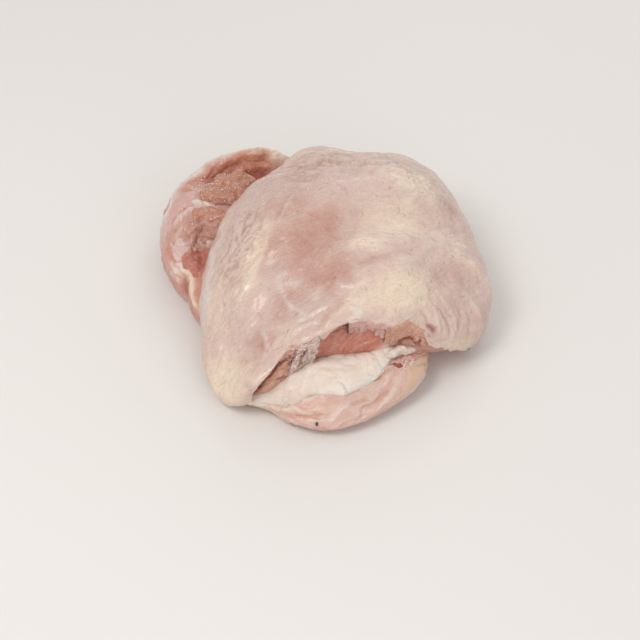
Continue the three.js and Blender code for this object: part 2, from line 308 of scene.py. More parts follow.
# Lines of the lobe, from its outer roll inwards
LOBE_LINES = [
    ([(97, 74), (106, 71), (115, 71), (125, 70), (137, 66), (145, 68), (152, 74), (157, 84)],
     3.0, 1.3, "veil", 1.2),
    # The pale line along the roll's top edge is partly a painted highlight.
    ([(97, 77), (105, 75), (115, 76), (125, 78), (138, 71), (145, 73), (152, 79)],
     1.7, 0.4, "pale_and_highlight", 1.3),
    ([(96, 70), (98, 67), (101, 64)], 2.6, 0.5, "fat", 1.4),
    ([(99, 67), (104, 65), (109, 64.5), (114, 65), (119, 66), (124, 66)], 2.6, -0.3, "rust", 1.2),
    ([(98, 68), (103, 66), (108, 65), (113, 66), (118, 67)], 2.2, 0.0, "tan", 0.8),
    ([(101, 64), (104, 62), (108, 61.5), (113, 62), (117, 63), (121, 62), (124, 60)],
     1.9, -1.0, "red", 1.6),
    ([(99, 62), (104, 60), (110, 59.5), (117, 60), (122, 59)], 3.4, 0.0, "rust", 1.0),
    # The deep lines are dark red that is partly painted shade, in the pocket under the lump and in
    # grooves.
    ([(103, 56), (107, 57), (113, 57), (117, 57.5), (121, 56), (124, 53)], 2.4, -0.6, "dark_red_and_hollow_shade", 1.0),
    ([(123, 65), (127, 64), (131, 60), (134, 58)], 2.6, 0.0, "rust", 1.0),
    ([(103, 52), (107, 46), (110, 42)], 2.0, -0.5, "dark_red_and_hollow_shade", 1.0),
    ([(139, 54), (137, 48), (136, 44), (134, 40), (132, 35)], 1.3, 1.1, "pale_and_highlight", 1.7),
    ([(141, 52), (140, 48), (139, 42)], 0.9, 0.6, "pale_and_highlight", 1.1),
    ([(138, 66), (134, 62), (132, 52), (130, 46)], 1.2, 0.8, "veil", 1.0),
    ([(144, 68), (142, 57), (139, 49)], 1.2, -0.6, "rust", 0.5),
    ([(150, 62), (145, 54), (140, 47), (136, 41)], 1.7, 1.2, "veil", 1.2),
    ([(155, 62), (150, 53), (146, 47), (140, 41)], 1.6, 1.1, "veil", 1.0),
    ([(153, 60), (148, 51), (143, 44)], 1.0, -0.3, "rust", 0.6),
    ([(150, 70), (147, 62), (143, 56)], 1.1, -0.7, "rose", 0.8),
    ([(154, 48), (150, 42), (146, 38), (144, 32)], 1.0, 1.3, "pale_and_highlight", 1.6),
    ([(158, 74), (162, 78), (166, 79), (170, 82), (175, 88)], 2.8, 0.6, "rose", 1.1),
    ([(157, 68), (161, 72), (165, 76), (168, 82)], 1.4, -0.4, "red", 0.9),
    ([(165, 68), (168, 65), (169, 60), (171, 56)], 1.2, 0.8, "pale_and_highlight", 1.5),
    ([(166, 82), (170, 80), (173, 76)], 1.0, 0.5, "pale_and_highlight", 1.0),
    ([(163, 74), (167, 73), (171, 70)], 1.3, 0.5, "pale_and_highlight", 1.1),
    ([(173, 76), (175, 78), (178, 82)], 1.6, -0.7, "dark_red_and_hollow_shade", 0.9),
    ([(168, 56), (173, 63), (180, 71), (188, 77), (194, 82)], 1.7, 1.0, "fat", 1.4),
    ([(180, 62), (185, 68), (188, 74), (190, 80), (193, 90)], 2.0, 0.2, "rust", 1.0),
    ([(170, 88), (176, 92), (184, 98)], 1.8, 0.2, "rose", 1.0),
]

# Patches on the lobe, each between two lines of bearing and polar angle: tint, thickness, fullness
# of its section, height of its lumps, and the two lines
LOBE_PATCHES = [
    ("frosty", 3.4, 2.0, 2.8,
     [(135, 46), (130, 48), (124, 48.5), (119, 47.5), (114, 45), (109, 41)],
     [(134, 37), (130, 32), (125, 27), (120, 25), (114, 25), (108, 27)]),
    ("film", 1.7, 2.6, 0.5, [(142, 67), (138, 62), (134, 57), (132, 49)],
     [(150, 65), (145, 57), (141, 50), (137, 44)]),
    ("dull", 1.8, 2.2, 0.6, [(140, 47), (137, 42), (133, 36), (130, 29)],
     [(147, 44), (143, 39), (138, 33), (134, 26)]),
    ("speckled", 2.2, 2.0, 1.1, [(149, 52), (144, 45), (140, 39), (136, 31)],
     [(156, 45), (151, 41), (146, 35), (141, 28)]),
    ("silver", 1.0, 2.0, 0.2, [(156, 67), (154.5, 58), (153.5, 51), (153, 44)],
     [(164, 68), (165, 61), (160, 52), (156, 46)]),
    ("deep_red", 1.3, 2.2, 0.15, [(164, 61), (158, 51), (152, 43), (146, 33)],
     [(177, 63), (172, 54), (163, 40), (153, 27)]),
]

PATCH_EDGE_VEIL = 0.25  # share of film at the patches' edges, where their tints fade
PATCH_SUNK = 0.6  # how far the patches and the fat reach into what they lie on

FLESH_RED = [
    ((-53, 6, 18), (9, 14, 12), 0, 1.2),
    ((-36, 63, 22), (20, 7, 14), 8, 1.0),
    ((-60, 8, 13), (7, 13, 10), 0, 0.9),
    ((-56, 34, 22), (10, 10, 10), 0, 0.5),
    ((-56, -14, 10), (6, 12, 12), 0, 0.8),
]
FLESH_BROWN = [
    ((-40, 60, 20), (18, 9, 14), 8, 0.9),
    ((-42, 42, 28), (18, 9, 10), 10, 0.55),
    ((-50, 14, 12), (5, 12, 10), 0, 0.5),
    ((-52, -14, 11), (5, 8, 8), 0, 0.5),
]
FLESH_VEIL = [
    ((-65, 38, 20), (6, 18, 20), -18, 0.9),
    ((-40, 76, 22), (28, 7, 14), 6, 1.0),
    ((24, -66, 8), (50, 12, 12), 0, 0.4),
]
FLESH_FAT = [
    ((-30, -58, 8), (12, 8, 10), 0, 0.8),
    ((-24, 76, 26), (10, 6, 8), 0, 0.6),
]

# The meat under the skin is the upper half again, this far inside it by bearing, with its widest
# ring lower down at the tear
MEAT_RECESS = [
    [12, 20], [205, 20], [226, 10], [236, 5.5], [240, 5], [245, 3.5], [250, 2.2], [256, 2.2],
    [263, 3.4], [275, 3.2], [285, 3.0], [293, 2.8], [300, 2.6], [308, 2.4], [318, 2.4],
    [348, 2.6], [356, 8],
]
MEAT_GIRDLE = [
    [0, 14], [200, 12], [232, 10], [243, 16], [250, 22], [256, 25], [264, 26], [285, 26], [297, 25],
    [311, 22], [326, 17], [342, 13],
]
MEAT_UNDER = [[0, -8], [240, -8], [300, -8], [311, 6], [320, 8], [332, 4], [342, -8]]
MEAT_LOWERED = 2.4
MEAT_SUNK = 6.0  # further down under the top
MEAT_COLUMNS, MEAT_HIDDEN_COLUMNS = 460, 60
MEAT_POLAR = [(4, 46, 10), (47, 128, 110)]  # first and last polar angle, number of rows
MEAT_SHOWN = (236.0, 334.0)

# The fat lies on the lower half between two lines of bearing and polar angle
FAT_TOP = [
    (249, 84), (251, 79), (254, 72), (258, 66), (262, 60), (266, 55), (271, 49), (277, 45),
    (283, 44), (289, 44), (295, 45.5), (301, 47.5), (306, 48.5), (310, 47.5), (314, 47),
    (318, 49.5), (321, 55), (322.5, 62),
]
FAT_BOTTOM = [
    (249, 88), (252, 89), (256, 87), (260, 82), (265, 77), (270, 70), (275, 63), (281, 61.5),
    (287, 63.5), (293, 63), (299, 62), (304, 61), (308, 59), (311, 58), (314, 59.5), (317, 62.5),
    (319.5, 66), (321.5, 68),
]
FAT_THICKNESS, FAT_FULLNESS = 2.6, 1.7
# The fat's crease lines are grooves darkened with painted shade.
FAT_LINES = [
    ([(277, 50), (281, 52), (285, 49)], 0.9, -0.6, "crease_shade", 0.5),
    ([(283, 60), (286, 55), (287, 50)], 0.9, -0.6, "crease_shade", 0.5),
    ([(288, 62), (290, 56), (294, 50)], 0.8, -0.4, "crease_shade", 0.4),
    ([(262, 64), (264, 72), (268, 76)], 1.0, -0.9, "crease_shade", 0.6),
    ([(257, 74), (262, 66), (268, 60)], 1.0, -0.6, "crease_shade", 0.5),
    ([(299, 60), (302, 54), (304, 51)], 0.8, -0.7, "crease_shade", 0.6),
    ([(306, 58), (308, 55), (309, 51)], 1.0, -0.9, "crease_shade", 0.7),
    ([(254, 84), (257, 80), (261, 77), (264, 72)], 0.9, -0.7, "flush", 0.5),
]

# Sheets of film and soft tissue that hang from under the torn lip to the meat or the fat: tint,
# thickness, bulge, waist, size of their tatters, the upper line on the upper half, and the lower
# one on the surface named
SHEETS = [
    ("crystal", 1.1, 0.6, 0.8, 0.5, [(253, 81), (254.5, 84), (256, 87)],
     "lower", [(263, 60), (265, 57), (267, 54.5)]),
    ("crystal", 1.0, 0.5, 0.6, 0.5, [(257.5, 89), (260, 90), (263, 90)],
     "lower", [(269.5, 51), (272, 48.5), (276.5, 47)]),
    ("blush", 1.0, 0.4, 0.0, 0.3, [(247, 68), (248.4, 63), (250, 64), (252, 72), (254, 83)],
     "meat", [(245.6, 66), (248, 69), (250.5, 74), (253, 84), (255, 92)]),
    ("film", 0.8, 0.3, 0.0, 0.3, [(275, 80), (279, 76), (283, 80), (287, 88), (291, 88), (295, 86)],
     "meat", [(275, 76), (279, 74), (282, 73), (286, 73.5), (290, 77), (295, 87)]),
    ("tan", 1.1, 0.5, 0.0, 0.22, [(293, 88), (297, 85), (301, 78), (305, 74), (309, 80), (313, 89)],
     "meat", [(293, 89), (298, 88), (301, 84), (304, 81), (308, 85), (312, 93)]),
]

# Strands and shreds at the tear: tint and a path of x, y, z, half depth and half height
STRANDS = [
    ("rose", [(27, -50.5, 17.6, 1.0, 0.8), (32, -48.4, 17.0, 1.3, 1.0), (37, -45.4, 16.6, 1.2, 1.0),
              (42, -41.5, 15.2, 0.8, 0.8)]),
    ("blood_and_hole_shade", [(28.5, -50.4, 17.6, 0.9, 0.9), (31.5, -49.6, 16.2, 1.3, 1.5),
               (34, -48.4, 15.0, 0.8, 0.8)]),
    ("shred", [(33.8, -48.4, 17.2, 0.5, 0.5), (32.9, -49.8, 15.8, 0.8, 0.7),
               (31.6, -51.4, 14.2, 0.5, 0.5)]),
    ("shred", [(37, -46.2, 17.2, 0.5, 0.4), (36.2, -47.6, 15.4, 0.7, 0.6),
               (34.6, -49.4, 13.8, 0.5, 0.4)]),
    ("cream", [(24.5, -49, 19.2, 1.0, 0.8), (28, -47.6, 20.4, 1.7, 2.0),
               (31.5, -46, 20.8, 1.9, 2.5), (35, -44.4, 19.8, 1.7, 2.1),
               (38.5, -42.6, 18.2, 1.0, 0.9)]),
    # This dark red strand is painted shade: it stands for a hole above the cream strand.
    ("blood_and_hole_shade", [(31, -45.4, 24.4, 0.5, 0.5), (32.8, -44.6, 26.2, 0.7, 0.7),
               (35.8, -43.4, 25.2, 0.7, 0.7), (38, -42, 22.6, 0.5, 0.5)]),
    ("rusty", [(-24.5, -60.2, 14.8, 0.7, 0.7), (-21, -59.6, 18.4, 1.2, 1.3),
               (-17, -58.2, 22.6, 1.4, 1.5), (-12.5, -56.4, 26.4, 0.9, 0.9)]),
    ("crystal", [(-18, -57.6, 20.4, 0.7, 0.7), (-15.4, -56.4, 22.6, 1.0, 0.9),
                 (-12.4, -54.8, 24.8, 0.9, 0.8), (-9.6, -53.4, 27.2, 0.6, 0.6)]),
    ("crystal", [(-23.5, -59.4, 15.6, 0.6, 0.5), (-20.4, -58.8, 17.6, 0.9, 0.8),
                 (-16.4, -57.0, 19.4, 0.6, 0.6)]),
]

# Rows and columns of the grids that are laid or hung between two lines or carried along a path
FAT_GRID, PATCH_GRID, SHEET_GRID, STRAND_GRID, STUB_GRID = (
    (400, 200), (140, 112), (150, 90), (110, 40), (24, 20),
)
SHEET_LINE_POINTS = 60  # points that each of a sheet's two lines is drawn with

# Tints of the strands, the sheets and the patches, each a mixture of the flesh's masks
FLESH_TINTS = ("fat", "rose", "red", "brown", "tan", "rust", "veil", "frost", "dark_red_and_hollow_shade", "pale_and_highlight")
MIXTURES = {
    "rose": {"rose": 0.9, "veil": 0.2},
    # Dark red, for a red shred and for the dark strand that stands for a hole's shade.
    "blood_and_hole_shade": {"red": 1.0, "dark_red_and_hollow_shade": 0.9},
    "tan": {"tan": 0.6, "rust": 0.35, "rose": 0.3},
    "film": {"veil": 0.7, "rose": 0.6},
    "cream": {"fat": 0.5, "pale_and_highlight": 0.9},
    "rusty": {"rust": 0.7, "tan": 0.6},
    "silver": {"veil": 1.2, "rose": 0.25},
    "shred": {"fat": 0.6, "rose": 0.5},
    "blush": {"rose": 0.6, "tan": 0.4},
    "crystal": {"rose": 0.8, "pale_and_highlight": 0.65, "frost": 0.5},
    "frosty": {"brown": 0.9, "tan": 0.25, "rust": 0.35, "frost": 0.45},
    "dull": {"brown": 0.6, "rust": 0.3, "veil": 0.2},
    "speckled": {"brown": 0.6, "rose": 0.4, "frost": 0.4},
    "deep_red": {"red": 1.5, "dark_red_and_hollow_shade": 0.25},
}

# Pieces of flesh: name of the finish, turn of its fibres in degrees, and their pitch
FLESH_FINISHES = {
    "lower_half": ("cut_flesh", (0, 0, 60), 1.2),
    "torn_meat": ("red_meat", (0, -40, 0), 1.0),
    "strands": ("torn_strands", (0, -10, 0), 0.8),
    "sheets": ("torn_film", (0, 30, 0), 0.9),
    "lobe_patches": ("lobe_flesh", (0, 20, 40), 1.4),
}

# Where grains of frost cling: piece, middle, spread along and across and up, and their number
GRAIN_PLACES = [
    ("sheets", (-6, -54, 26), (5, 4, 8), 30),
    ("torn_meat", (-16, -57, 22), (8, 5, 9), 24),
    ("lobe_patches", (-42, 47, 30), (7, 6, 6), 60),
    ("lobe_patches", (-54, 36, 26), (5, 6, 6), 20),
    ("lower_half", (-52, 54, 26), (7, 9, 8), 30),
    ("lower_half", (31, -52, 15), (5, 3, 5), 14),
    ("strands", (34, -49, 16), (6, 4, 5), 16),
    ("fat_band", (22, -56, 18), (6, 5, 4), 8),
    ("skin", (-3, 17, 55), (4, 4, 5), 10),
    ("skin", (5, 20, 55), (6, 6, 5), 8),
    ("skin", (-16, -30, 38), (9, 6, 8), 14),
    ("skin", (-30, 20, 45), (8, 12, 8), 6),
]
# Feather stub: path of x, y, z and the share of its thickness
STUB = [
    (-2.2, -72.0, 7.6, 1.0), (-2.2, -73.6, 7.4, 1.0), (-2.3, -74.5, 7.2, 0.9),
    (-2.4, -75.0, 7.0, 0.7),
]

# Lines on the meat, as for the skin
MEAT_LINES = [
    # The deep lines are painted shade in grooves and holes, darkest in the hole beside the tan
    # tissue.
    ([(244.5, 60), (246, 62), (248, 62)], 0.8, -0.9, "dark_red_and_hollow_shade", 0.9),
    ([(249, 75), (251, 76), (253, 78)], 0.8, -0.9, "dark_red_and_hollow_shade", 0.9),
    ([(247.5, 70), (248.5, 76), (250, 82)], 1.8, 0.6, "brown", 1.1),
    ([(246, 70), (246.6, 75), (247.4, 82), (248, 87)], 1.5, 0.9, "rose", 1.1),
    ([(250.5, 86), (252, 90), (252, 97)], 1.6, 1.0, "tan", 1.1),
    ([(246, 86), (247.5, 88), (249, 91)], 0.8, -0.8, "dark_red_and_hollow_shade", 0.9),
    ([(238.5, 90), (241, 83), (242, 79), (244, 75)], 1.1, -0.5, "dark_red_and_hollow_shade", 0.9),
    ([(242, 92), (244, 86), (246, 80), (247, 75)], 2.6, 0.4, "tan", 1.1),
    ([(241.5, 88), (243, 84), (245, 82)], 1.3, 0.5, "red", 1.3),
    ([(301.5, 84), (304, 81.5), (306, 82), (308, 86), (309.5, 91)], 0.9, -1.6, "dark_red_and_hollow_shade", 1.3),
    ([(262, 92), (266, 90), (270, 84), (273, 76), (275, 68)], 0.7, 0.5, "rose", 0.5),
    ([(274, 94), (279, 90), (284, 88), (290, 84)], 0.6, 0.5, "rose", 0.7),
    ([(268, 94), (272, 88), (276, 80), (279, 74)], 0.6, 0.5, "rose", 0.5),
    ([(287, 94), (290, 92), (294, 90), (295, 86)], 1.6, 0.6, "fat", 0.9),
    ([(310, 94), (314, 92), (317, 94), (321, 96), (324, 97), (328, 98)], 1.5, 0.5, "rose", 0.9),
]


def paint(red, green, blue):
    """Linear colour of a display colour that is given in 0 to 255."""
    return tuple(
        c / 12.92 if c <= 0.04045 else ((c + 0.055) / 1.055) ** 2.4
        for c in (red / 255, green / 255, blue / 255)
    )


def length(name, description, default, **limits):
    """A length property in metres."""
    return bpy.props.FloatProperty(
        name=name, description=description, default=default, unit="LENGTH", precision=4, **limits
    )


def colour(name, description, red, green, blue):
    """A colour property, given in 0 to 255 as it is displayed."""
    return bpy.props.FloatVectorProperty(
        name=name, description=description, default=paint(red, green, blue), size=3,
        subtype="COLOR", min=0.0, max=1.0,
    )


class BreastSizes(bpy.types.PropertyGroup):
    """Sizes of the finer forms; the main ones follow the solid."""

    skin_thickness: length("Skin thickness", "Thickness of the skin at its torn lip", 0.0012)
    crease_height: length("Crease height", "Height of the skin's creases", 0.001)
    follicle_spacing: length("Follicle spacing", "Distance between feather follicles", 0.0046)
    fat_lumps: length("Fat lumps", "Height of the lumps of the fat", 0.0016)
    stub_diameter: length("Feather stub", "Diameter of the feather stub", 0.0013)
    grain_size: length("Grain size", "Size of the largest grains of frost", 0.0009)


class BreastColours(bpy.types.PropertyGroup):
    """Colours of the finishes."""

    skin: colour("Skin", "Skin where neither fat nor flesh shows through", 211, 184, 171)
    skin_fat: colour("Fat under the skin", "Skin over fat", 230, 209, 187)
    skin_flush: colour("Flesh under the skin", "Thin skin over flesh", 183, 129, 113)
    skin_veil: colour("Veiled skin", "Skin over a grey film", 203, 173, 167)
    # Pale skin, partly painted highlights on ridges, on glints and along the left edge.
    skin_pale_and_highlight: colour("Pale skin", "Thick dry edges of the skin", 224, 214, 206)
    # Painted shade in the valleys of the creases.
    skin_crease_shade: colour("Creases", "Depth of the creases", 156, 116, 98)
    flesh: colour("Flesh", "Cut flesh", 192, 143, 128)
    flesh_red: colour("Red flesh", "Fresh red flesh", 194, 116, 95)
    # Dark red flesh, also used as painted shade in hollows, grooves and holes.
    flesh_dark_red_and_hollow_shade: colour("Deep flesh", "Dark red in hollows and holes", 142, 58, 44)
    flesh_brown: colour("Brown flesh", "Darker dried flesh", 168, 98, 68)
    flesh_rust: colour("Rusty flesh", "Orange brown flesh in folds", 194, 118, 88)
    flesh_rose: colour("Rose flesh", "Pink flesh under a thin film", 207, 152, 142)
    flesh_tan: colour("Tan flesh", "Flesh that has dried at its edges", 206, 162, 132)
    film: colour("Film", "Silvery film over the flesh", 214, 188, 182)
    fat: colour("Fat", "White fat", 228, 215, 204)
    frost: colour("Frost", "Grains of frost", 238, 222, 212)
    stub: colour("Stub", "Feather stub", 58, 44, 40)
    floor: colour("Floor", "The stage's floor", 226, 222, 218)


def settings():
    """The scene's sizes and colours."""
    return bpy.context.scene.breast_sizes, bpy.context.scene.breast_colours


# Curves, noise and patches

_random = np.random.default_rng(4049)
SHUFFLE = _random.permutation(256)


def unit(vectors):
    """The vectors with a length of 1."""
    return vectors / np.maximum(np.linalg.norm(vectors, axis=-1, keepdims=True), 1e-12)


WAYS = unit(_random.normal(size=(256, 3)))


def around(ring, bearing):
    """Smooth closed curve through a ring's values: a cubic between each two, whose slope at a
    value is that of the line between its neighbours."""
    where, value = np.array(ring, float).T
    if len(value) == 1:
        return np.full(np.shape(bearing), value[0])
    where = np.concatenate([where[-2:] - WHOLE_TURN, where, where[:2] + WHOLE_TURN])
    value = np.concatenate([value[-2:], value, value[:2]])
    turned = where[2] + np.mod(np.asarray(bearing) - where[2], WHOLE_TURN)
    i = np.clip(np.searchsorted(where, turned, side="right") - 1, 1, len(where) - 3)
    width = where[i + 1] - where[i]
    t = (turned - where[i]) / width
    slope_1 = (value[i + 1] - value[i - 1]) / (where[i + 1] - where[i - 1]) * width
    slope_2 = (value[i + 2] - value[i]) / (where[i + 2] - where[i]) * width
    return (
        value[i] * (2 * t**3 - 3 * t**2 + 1) + slope_1 * (t**3 - 2 * t**2 + t)
        + value[i + 1] * (3 * t**2 - 2 * t**3) + slope_2 * (t**3 - t**2)
    )


def along_path(path, count):
    """count rows of values spread evenly along a path of rows, each by a cubic through its
    neighbours (Catmull-Rom)."""
    rows = np.array(path, float)
    rows = np.vstack([2 * rows[0] - rows[1], rows, 2 * rows[-1] - rows[-2]])
    place = np.linspace(0, len(path) - 1, count)
    i = np.minimum(place.astype(int), len(path) - 2)
    t = (place - i)[:, None]
    a, b, c, d = rows[i], rows[i + 1], rows[i + 2], rows[i + 3]
    return b + 0.5 * t * (c - a + t * (2 * a - 5 * b + 4 * c - d + t * (3 * (b - c) + d - a)))


def soft_step(value, low, high):
    """0 below low, 1 above high, and 3t^2 - 2t^3 between."""
    t = np.clip((value - low) / (high - low), 0, 1)
    return t * t * (3 - 2 * t)


def turned_plan(x, y, at, turn):
    """Distances along and across axes that are turned in plan about a point."""
    c, s = math.cos(math.radians(turn)), math.sin(math.radians(turn))
    return (x - at[0]) * c + (y - at[1]) * s, (y - at[1]) * c - (x - at[0]) * s


def clouds(points, pitch, seed=0):
    """Smooth noise, mostly within -1 to 1: at each corner of a cubic lattice of that pitch a random
    direction is dotted with the way to the point, and the eight are blended with the weights
    6t^5 - 15t^4 + 10t^3."""
    place = points / pitch + 100.5
    cell = np.floor(place).astype(int)
    t = place - cell
    blend = t**3 * (t * (6 * t - 15) + 10)
    value = np.zeros(points.shape[:-1])
    for corner in itertools.product((0, 1), repeat=3):
        at = (cell + corner) & 255
        key = SHUFFLE[(at[..., 0] + seed) & 255]
        key = SHUFFLE[(key + at[..., 1]) & 255]
        key = SHUFFLE[(key + at[..., 2]) & 255]
        share = np.prod(np.where(corner, blend, 1 - blend), axis=-1)
        value += share * np.sum(WAYS[key] * (t - corner), axis=-1)
    return 1.7 * value


def layered_clouds(points, pitch, layers, seed=0):
    """clouds at each halving of the pitch, with half the height each time."""
    return sum(clouds(points, pitch / 2**k, seed + k) / 2**k for k in range(layers))


def drifted(points, pitch, distance, seed=0):
    """The points moved about by noise, so that what is drawn at them wanders."""
    shift = np.stack([layered_clouds(points, pitch, 2, seed + 11 * k) for k in range(3)], axis=-1)
    return points + distance * shift


def drawn_out(points, direction, times):
    """The points squeezed along a direction, so that noise at them is that much longer along it."""
    way = unit(np.array(direction, float))
    return points + ((points @ way) * (1 / times - 1))[..., None] * way


def bell(points, at, spread, turn=0.0):
    """Soft ellipsoid: e to the power of minus the squared distance, counted in spreads along,
    across and up."""
    along, across = turned_plan(points[..., 0], points[..., 1], at, turn)
    up = points[..., 2] - at[2]
    return np.exp(-((along / spread[0]) ** 2) - (across / spread[1]) ** 2 - (up / spread[2]) ** 2)


def patches(points, table, low, high, seed):
    """Mask of soft patches: the highest of their bells times their strengths, roughened by noise
    and then cut between two levels."""
    wandering = drifted(points, 9.0, 3.2, seed)
    value = np.max([strength * bell(wandering, at, spread, turn)
                    for at, spread, turn, strength in table], axis=0)
    return soft_step(value + 0.1 * layered_clouds(points, 3.5, 3, seed + 5), low, high)


def near_line(points, line, width):
    """Share that is 1 on a line and 0 away from it: e to the power of minus the squared distance,
    counted in widths, less towards both of the line's ends."""
    share = np.zeros(points.shape[:-1])
    pieces = len(line) - 1
    for k in range(pieces):
        start, way = line[k], line[k + 1] - line[k]
        reach = 2.4 * width + np.linalg.norm(way) / 2
        near = np.abs(points - (start + way / 2)).max(axis=-1) < reach
        if not near.any():
            continue
        here = points[near] - start
        t = np.clip(here @ way / (way @ way), 0, 1)
        distance = np.linalg.norm(here - t[:, None] * way, axis=1)
        taper = np.sqrt(np.sin(math.pi * np.clip((k + t) / pieces, 0.01, 0.99)))
        share[near] = np.maximum(share[near], taper * np.exp(-((distance / width) ** 2)))
    return share


def drawn_lines(points, place, lines):
    """Heights and tints that a table of lines gives at the points. place turns a bearing and a
    polar angle into a point."""
    height = np.zeros(points.shape[:-1])
    tints = {}
    for angles, width, rise, tint, strength in lines:
        share = near_line(points, place(*along_path(angles, 10 * len(angles)).T), width)
        height += rise * share
        tints[tint] = np.maximum(tints.get(tint, 0), strength * share)
    return height, tints


def tinted(masks, tints):
    """The masks with the tints of lines added to them, the higher value at each point."""
    shape = next(iter(masks.values())).shape
    return {
        name: np.maximum(masks.get(name, np.zeros(shape)), tints.get(name, 0))
        for name in {**masks, **tints}
    }


# Grids and meshes


def upper_points(bearing, polar):
    """Points of the upper half."""
    return pad_points(UPPER_HALF, bearing, polar)


def lower_points(bearing, polar):
    """Points of the lower half."""
    return pad_points(LOWER_HALF, bearing, polar)


def meat_points(bearing, polar):
    """Points of the meat under the skin: the upper half with other heights of its widest ring,
    drawn in towards its middle by the recess, and lowered."""
    base = pad_points({**UPPER_HALF, "girdle": MEAT_GIRDLE, "under": MEAT_UNDER}, bearing, polar)
    outward = base[..., :2] - np.array(UPPER_HALF["middle"]) - CENTRING
    reach = np.linalg.norm(outward, axis=-1)
    share = np.minimum(around(MEAT_RECESS, bearing), reach) / np.maximum(reach, 1)
    base[..., :2] -= outward * share[..., None]
    base[..., 2] -= MEAT_LOWERED + MEAT_SUNK * soft_step(-np.asarray(polar), -50, -20)
    return base


def pad_points(pad, bearing, polar):
    """A rounded pad's surface by bearing and polar angle, both in degrees. The sine of the polar
    angle sets the share of the reach, and its cosine the share of the way from the widest ring to
    the top or to the underside, both to a power that makes the side fuller than an ellipse."""
    power = 2 / around(pad["fullness"], bearing)
    slope = np.radians(polar)
    share = np.clip(np.sin(slope), 0, 1) ** power
    steepness = np.abs(np.cos(slope)) ** power
    distance = share * around(pad["reach"], bearing)
    x = pad["middle"][0] + distance * np.cos(np.radians(bearing))
    y = pad["middle"][1] + distance * np.sin(np.radians(bearing))
    top = np.full(x.shape, float(pad["plateau"]))
    for swell in pad["swells"]:
        along, across = turned_plan(x, y, swell["at"], swell["turn"])
        form = np.exp(-((along / swell["spread"][0]) ** 2) - (across / swell["spread"][1]) ** 2)
        if "pitch" in swell:
            form = form * np.cos(2 * math.pi * across / swell["pitch"])
        top += swell["height"] * form
    middle = pad["under_middle"]
    under = middle + (around(pad["under"], bearing) - middle) * share**2
    girdle = around(pad["girdle"], bearing)
    z = girdle + (np.where(polar < 90, top, under) - girdle) * steepness
    return np.stack([x + CENTRING[0], y + CENTRING[1], z], axis=-1)


def grid_normals(points):
    """Unit normals of a grid whose columns close on themselves: the way down the rows crossed with
    the way along a row."""
    down = np.gradient(points, axis=0)
    across = np.roll(points, -1, axis=1) - np.roll(points, 1, axis=1)
    return unit(np.cross(down, across))


def finished(name, mesh, finish):
    """The mesh's object, smooth, in the scene, with its finish, riding on the body in place of the
    solid."""
    mesh.polygons.foreach_set("use_smooth", np.ones(len(mesh.polygons), bool))
    mesh.materials.append(finish)
    piece = bpy.data.objects.new(name, mesh)
    bpy.context.scene.collection.objects.link(piece)
    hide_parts(NODE)
    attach(piece, BODY)
    return piece


def fans_and_quads(rows, columns):
    """Faces of a closed grid of rings, with a fan to one point at each end: its corners are the
    grid's, then the first end's and the last end's."""
    ring = np.arange(columns)
    following = np.roll(ring, -1)
    start = np.arange(rows - 1)[:, None] * columns
    here, beside = (start + ring).ravel(), (start + following).ravel()
    quads = np.stack([here, here + columns, beside + columns, beside], axis=1)
    first, last = rows * columns, rows * columns + 1
    base = (rows - 1) * columns
    fans = np.vstack([
        np.stack([np.full(columns, first), ring, following], axis=1),
        np.stack([base + ring, np.full(columns, last), base + following], axis=1),
    ])
    return quads, fans


def shells(name, grids, finish, last=None):
    """One piece of closed grids, each given as its points and its masks, which are values by grid
    point and are kept as attributes. Each end of a grid closes on the middle of its ring, unless
    last gives the point for the last end."""
    corners, quads, fans, masks, offset = [], [], [], {}, 0
    for points, values in grids:
        rows, columns = points.shape[:2]
        ends = points[0].mean(axis=0), points[-1].mean(axis=0) if last is None else last
        corners.append(np.vstack([points.reshape(-1, 3), *ends]) * MM)
        more_quads, more_fans = fans_and_quads(rows, columns)
        quads.append(more_quads + offset)
        fans.append(more_fans + offset)
        for mask, value in values.items():
            every = np.concatenate([value.ravel(), [value[0].mean(), value[-1].mean()]])
            masks.setdefault(mask, {})[offset] = every
        offset += rows * columns + 2
    mesh = bpy.data.meshes.new(name)
    faces = np.vstack(quads).tolist() + np.vstack(fans).tolist()
    mesh.from_pydata(np.vstack(corners).tolist(), [], faces)
    for mask, parts in masks.items():
        every = np.zeros(offset, np.float32)
        for start, value in parts.items():
            every[start:start + len(value)] = value
        mesh.attributes.new(mask, "FLOAT", "POINT").data.foreach_set("value", every)
    mesh.validate()
    return finished(name, mesh, finish)


def fuller(value, fullness):
    """A sine or a cosine to the power of 2 over the fullness, with its sign."""
    return np.sign(value) * np.abs(value) ** (2 / fullness)


def carried(path, rows, columns, fullness, bluntness):
    """Closed profile carried along a path of x, y, z, half width and half thickness: a
    superellipse in the plane of the level outward way and the way that is square to it and to the
    path, rounded off at both ends."""
    spine = along_path(path, rows)
    middle, width, thickness = spine[:, :3], spine[:, 3], spine[:, 4]
    way = unit(np.gradient(middle, axis=0))
    level = unit(np.stack([way[:, 1], -way[:, 0], np.zeros(rows)], axis=1))
    rise = np.cross(level, way)
    rounding = rounded_ends(rows, bluntness, 0.003)[:, 0]
    angle = np.linspace(0, 2 * math.pi, columns, endpoint=False)
    outward, upward = fuller(np.cos(angle), fullness), fuller(np.sin(angle), fullness)
    return (
        middle[:, None]
        + (width * rounding)[:, None, None] * outward[None, :, None] * level[:, None]
        + (thickness * rounding)[:, None, None] * upward[None, :, None] * rise[:, None]
    )


def place_normals(place, bearing, polar):
    """Unit normals of a place function's surface, from points half a degree away on each side."""
    down = place(bearing, polar + 0.5) - place(bearing, polar - 0.5)
    across = place(bearing + 0.5, polar) - place(bearing - 0.5, polar)
    return unit(np.cross(down, across))


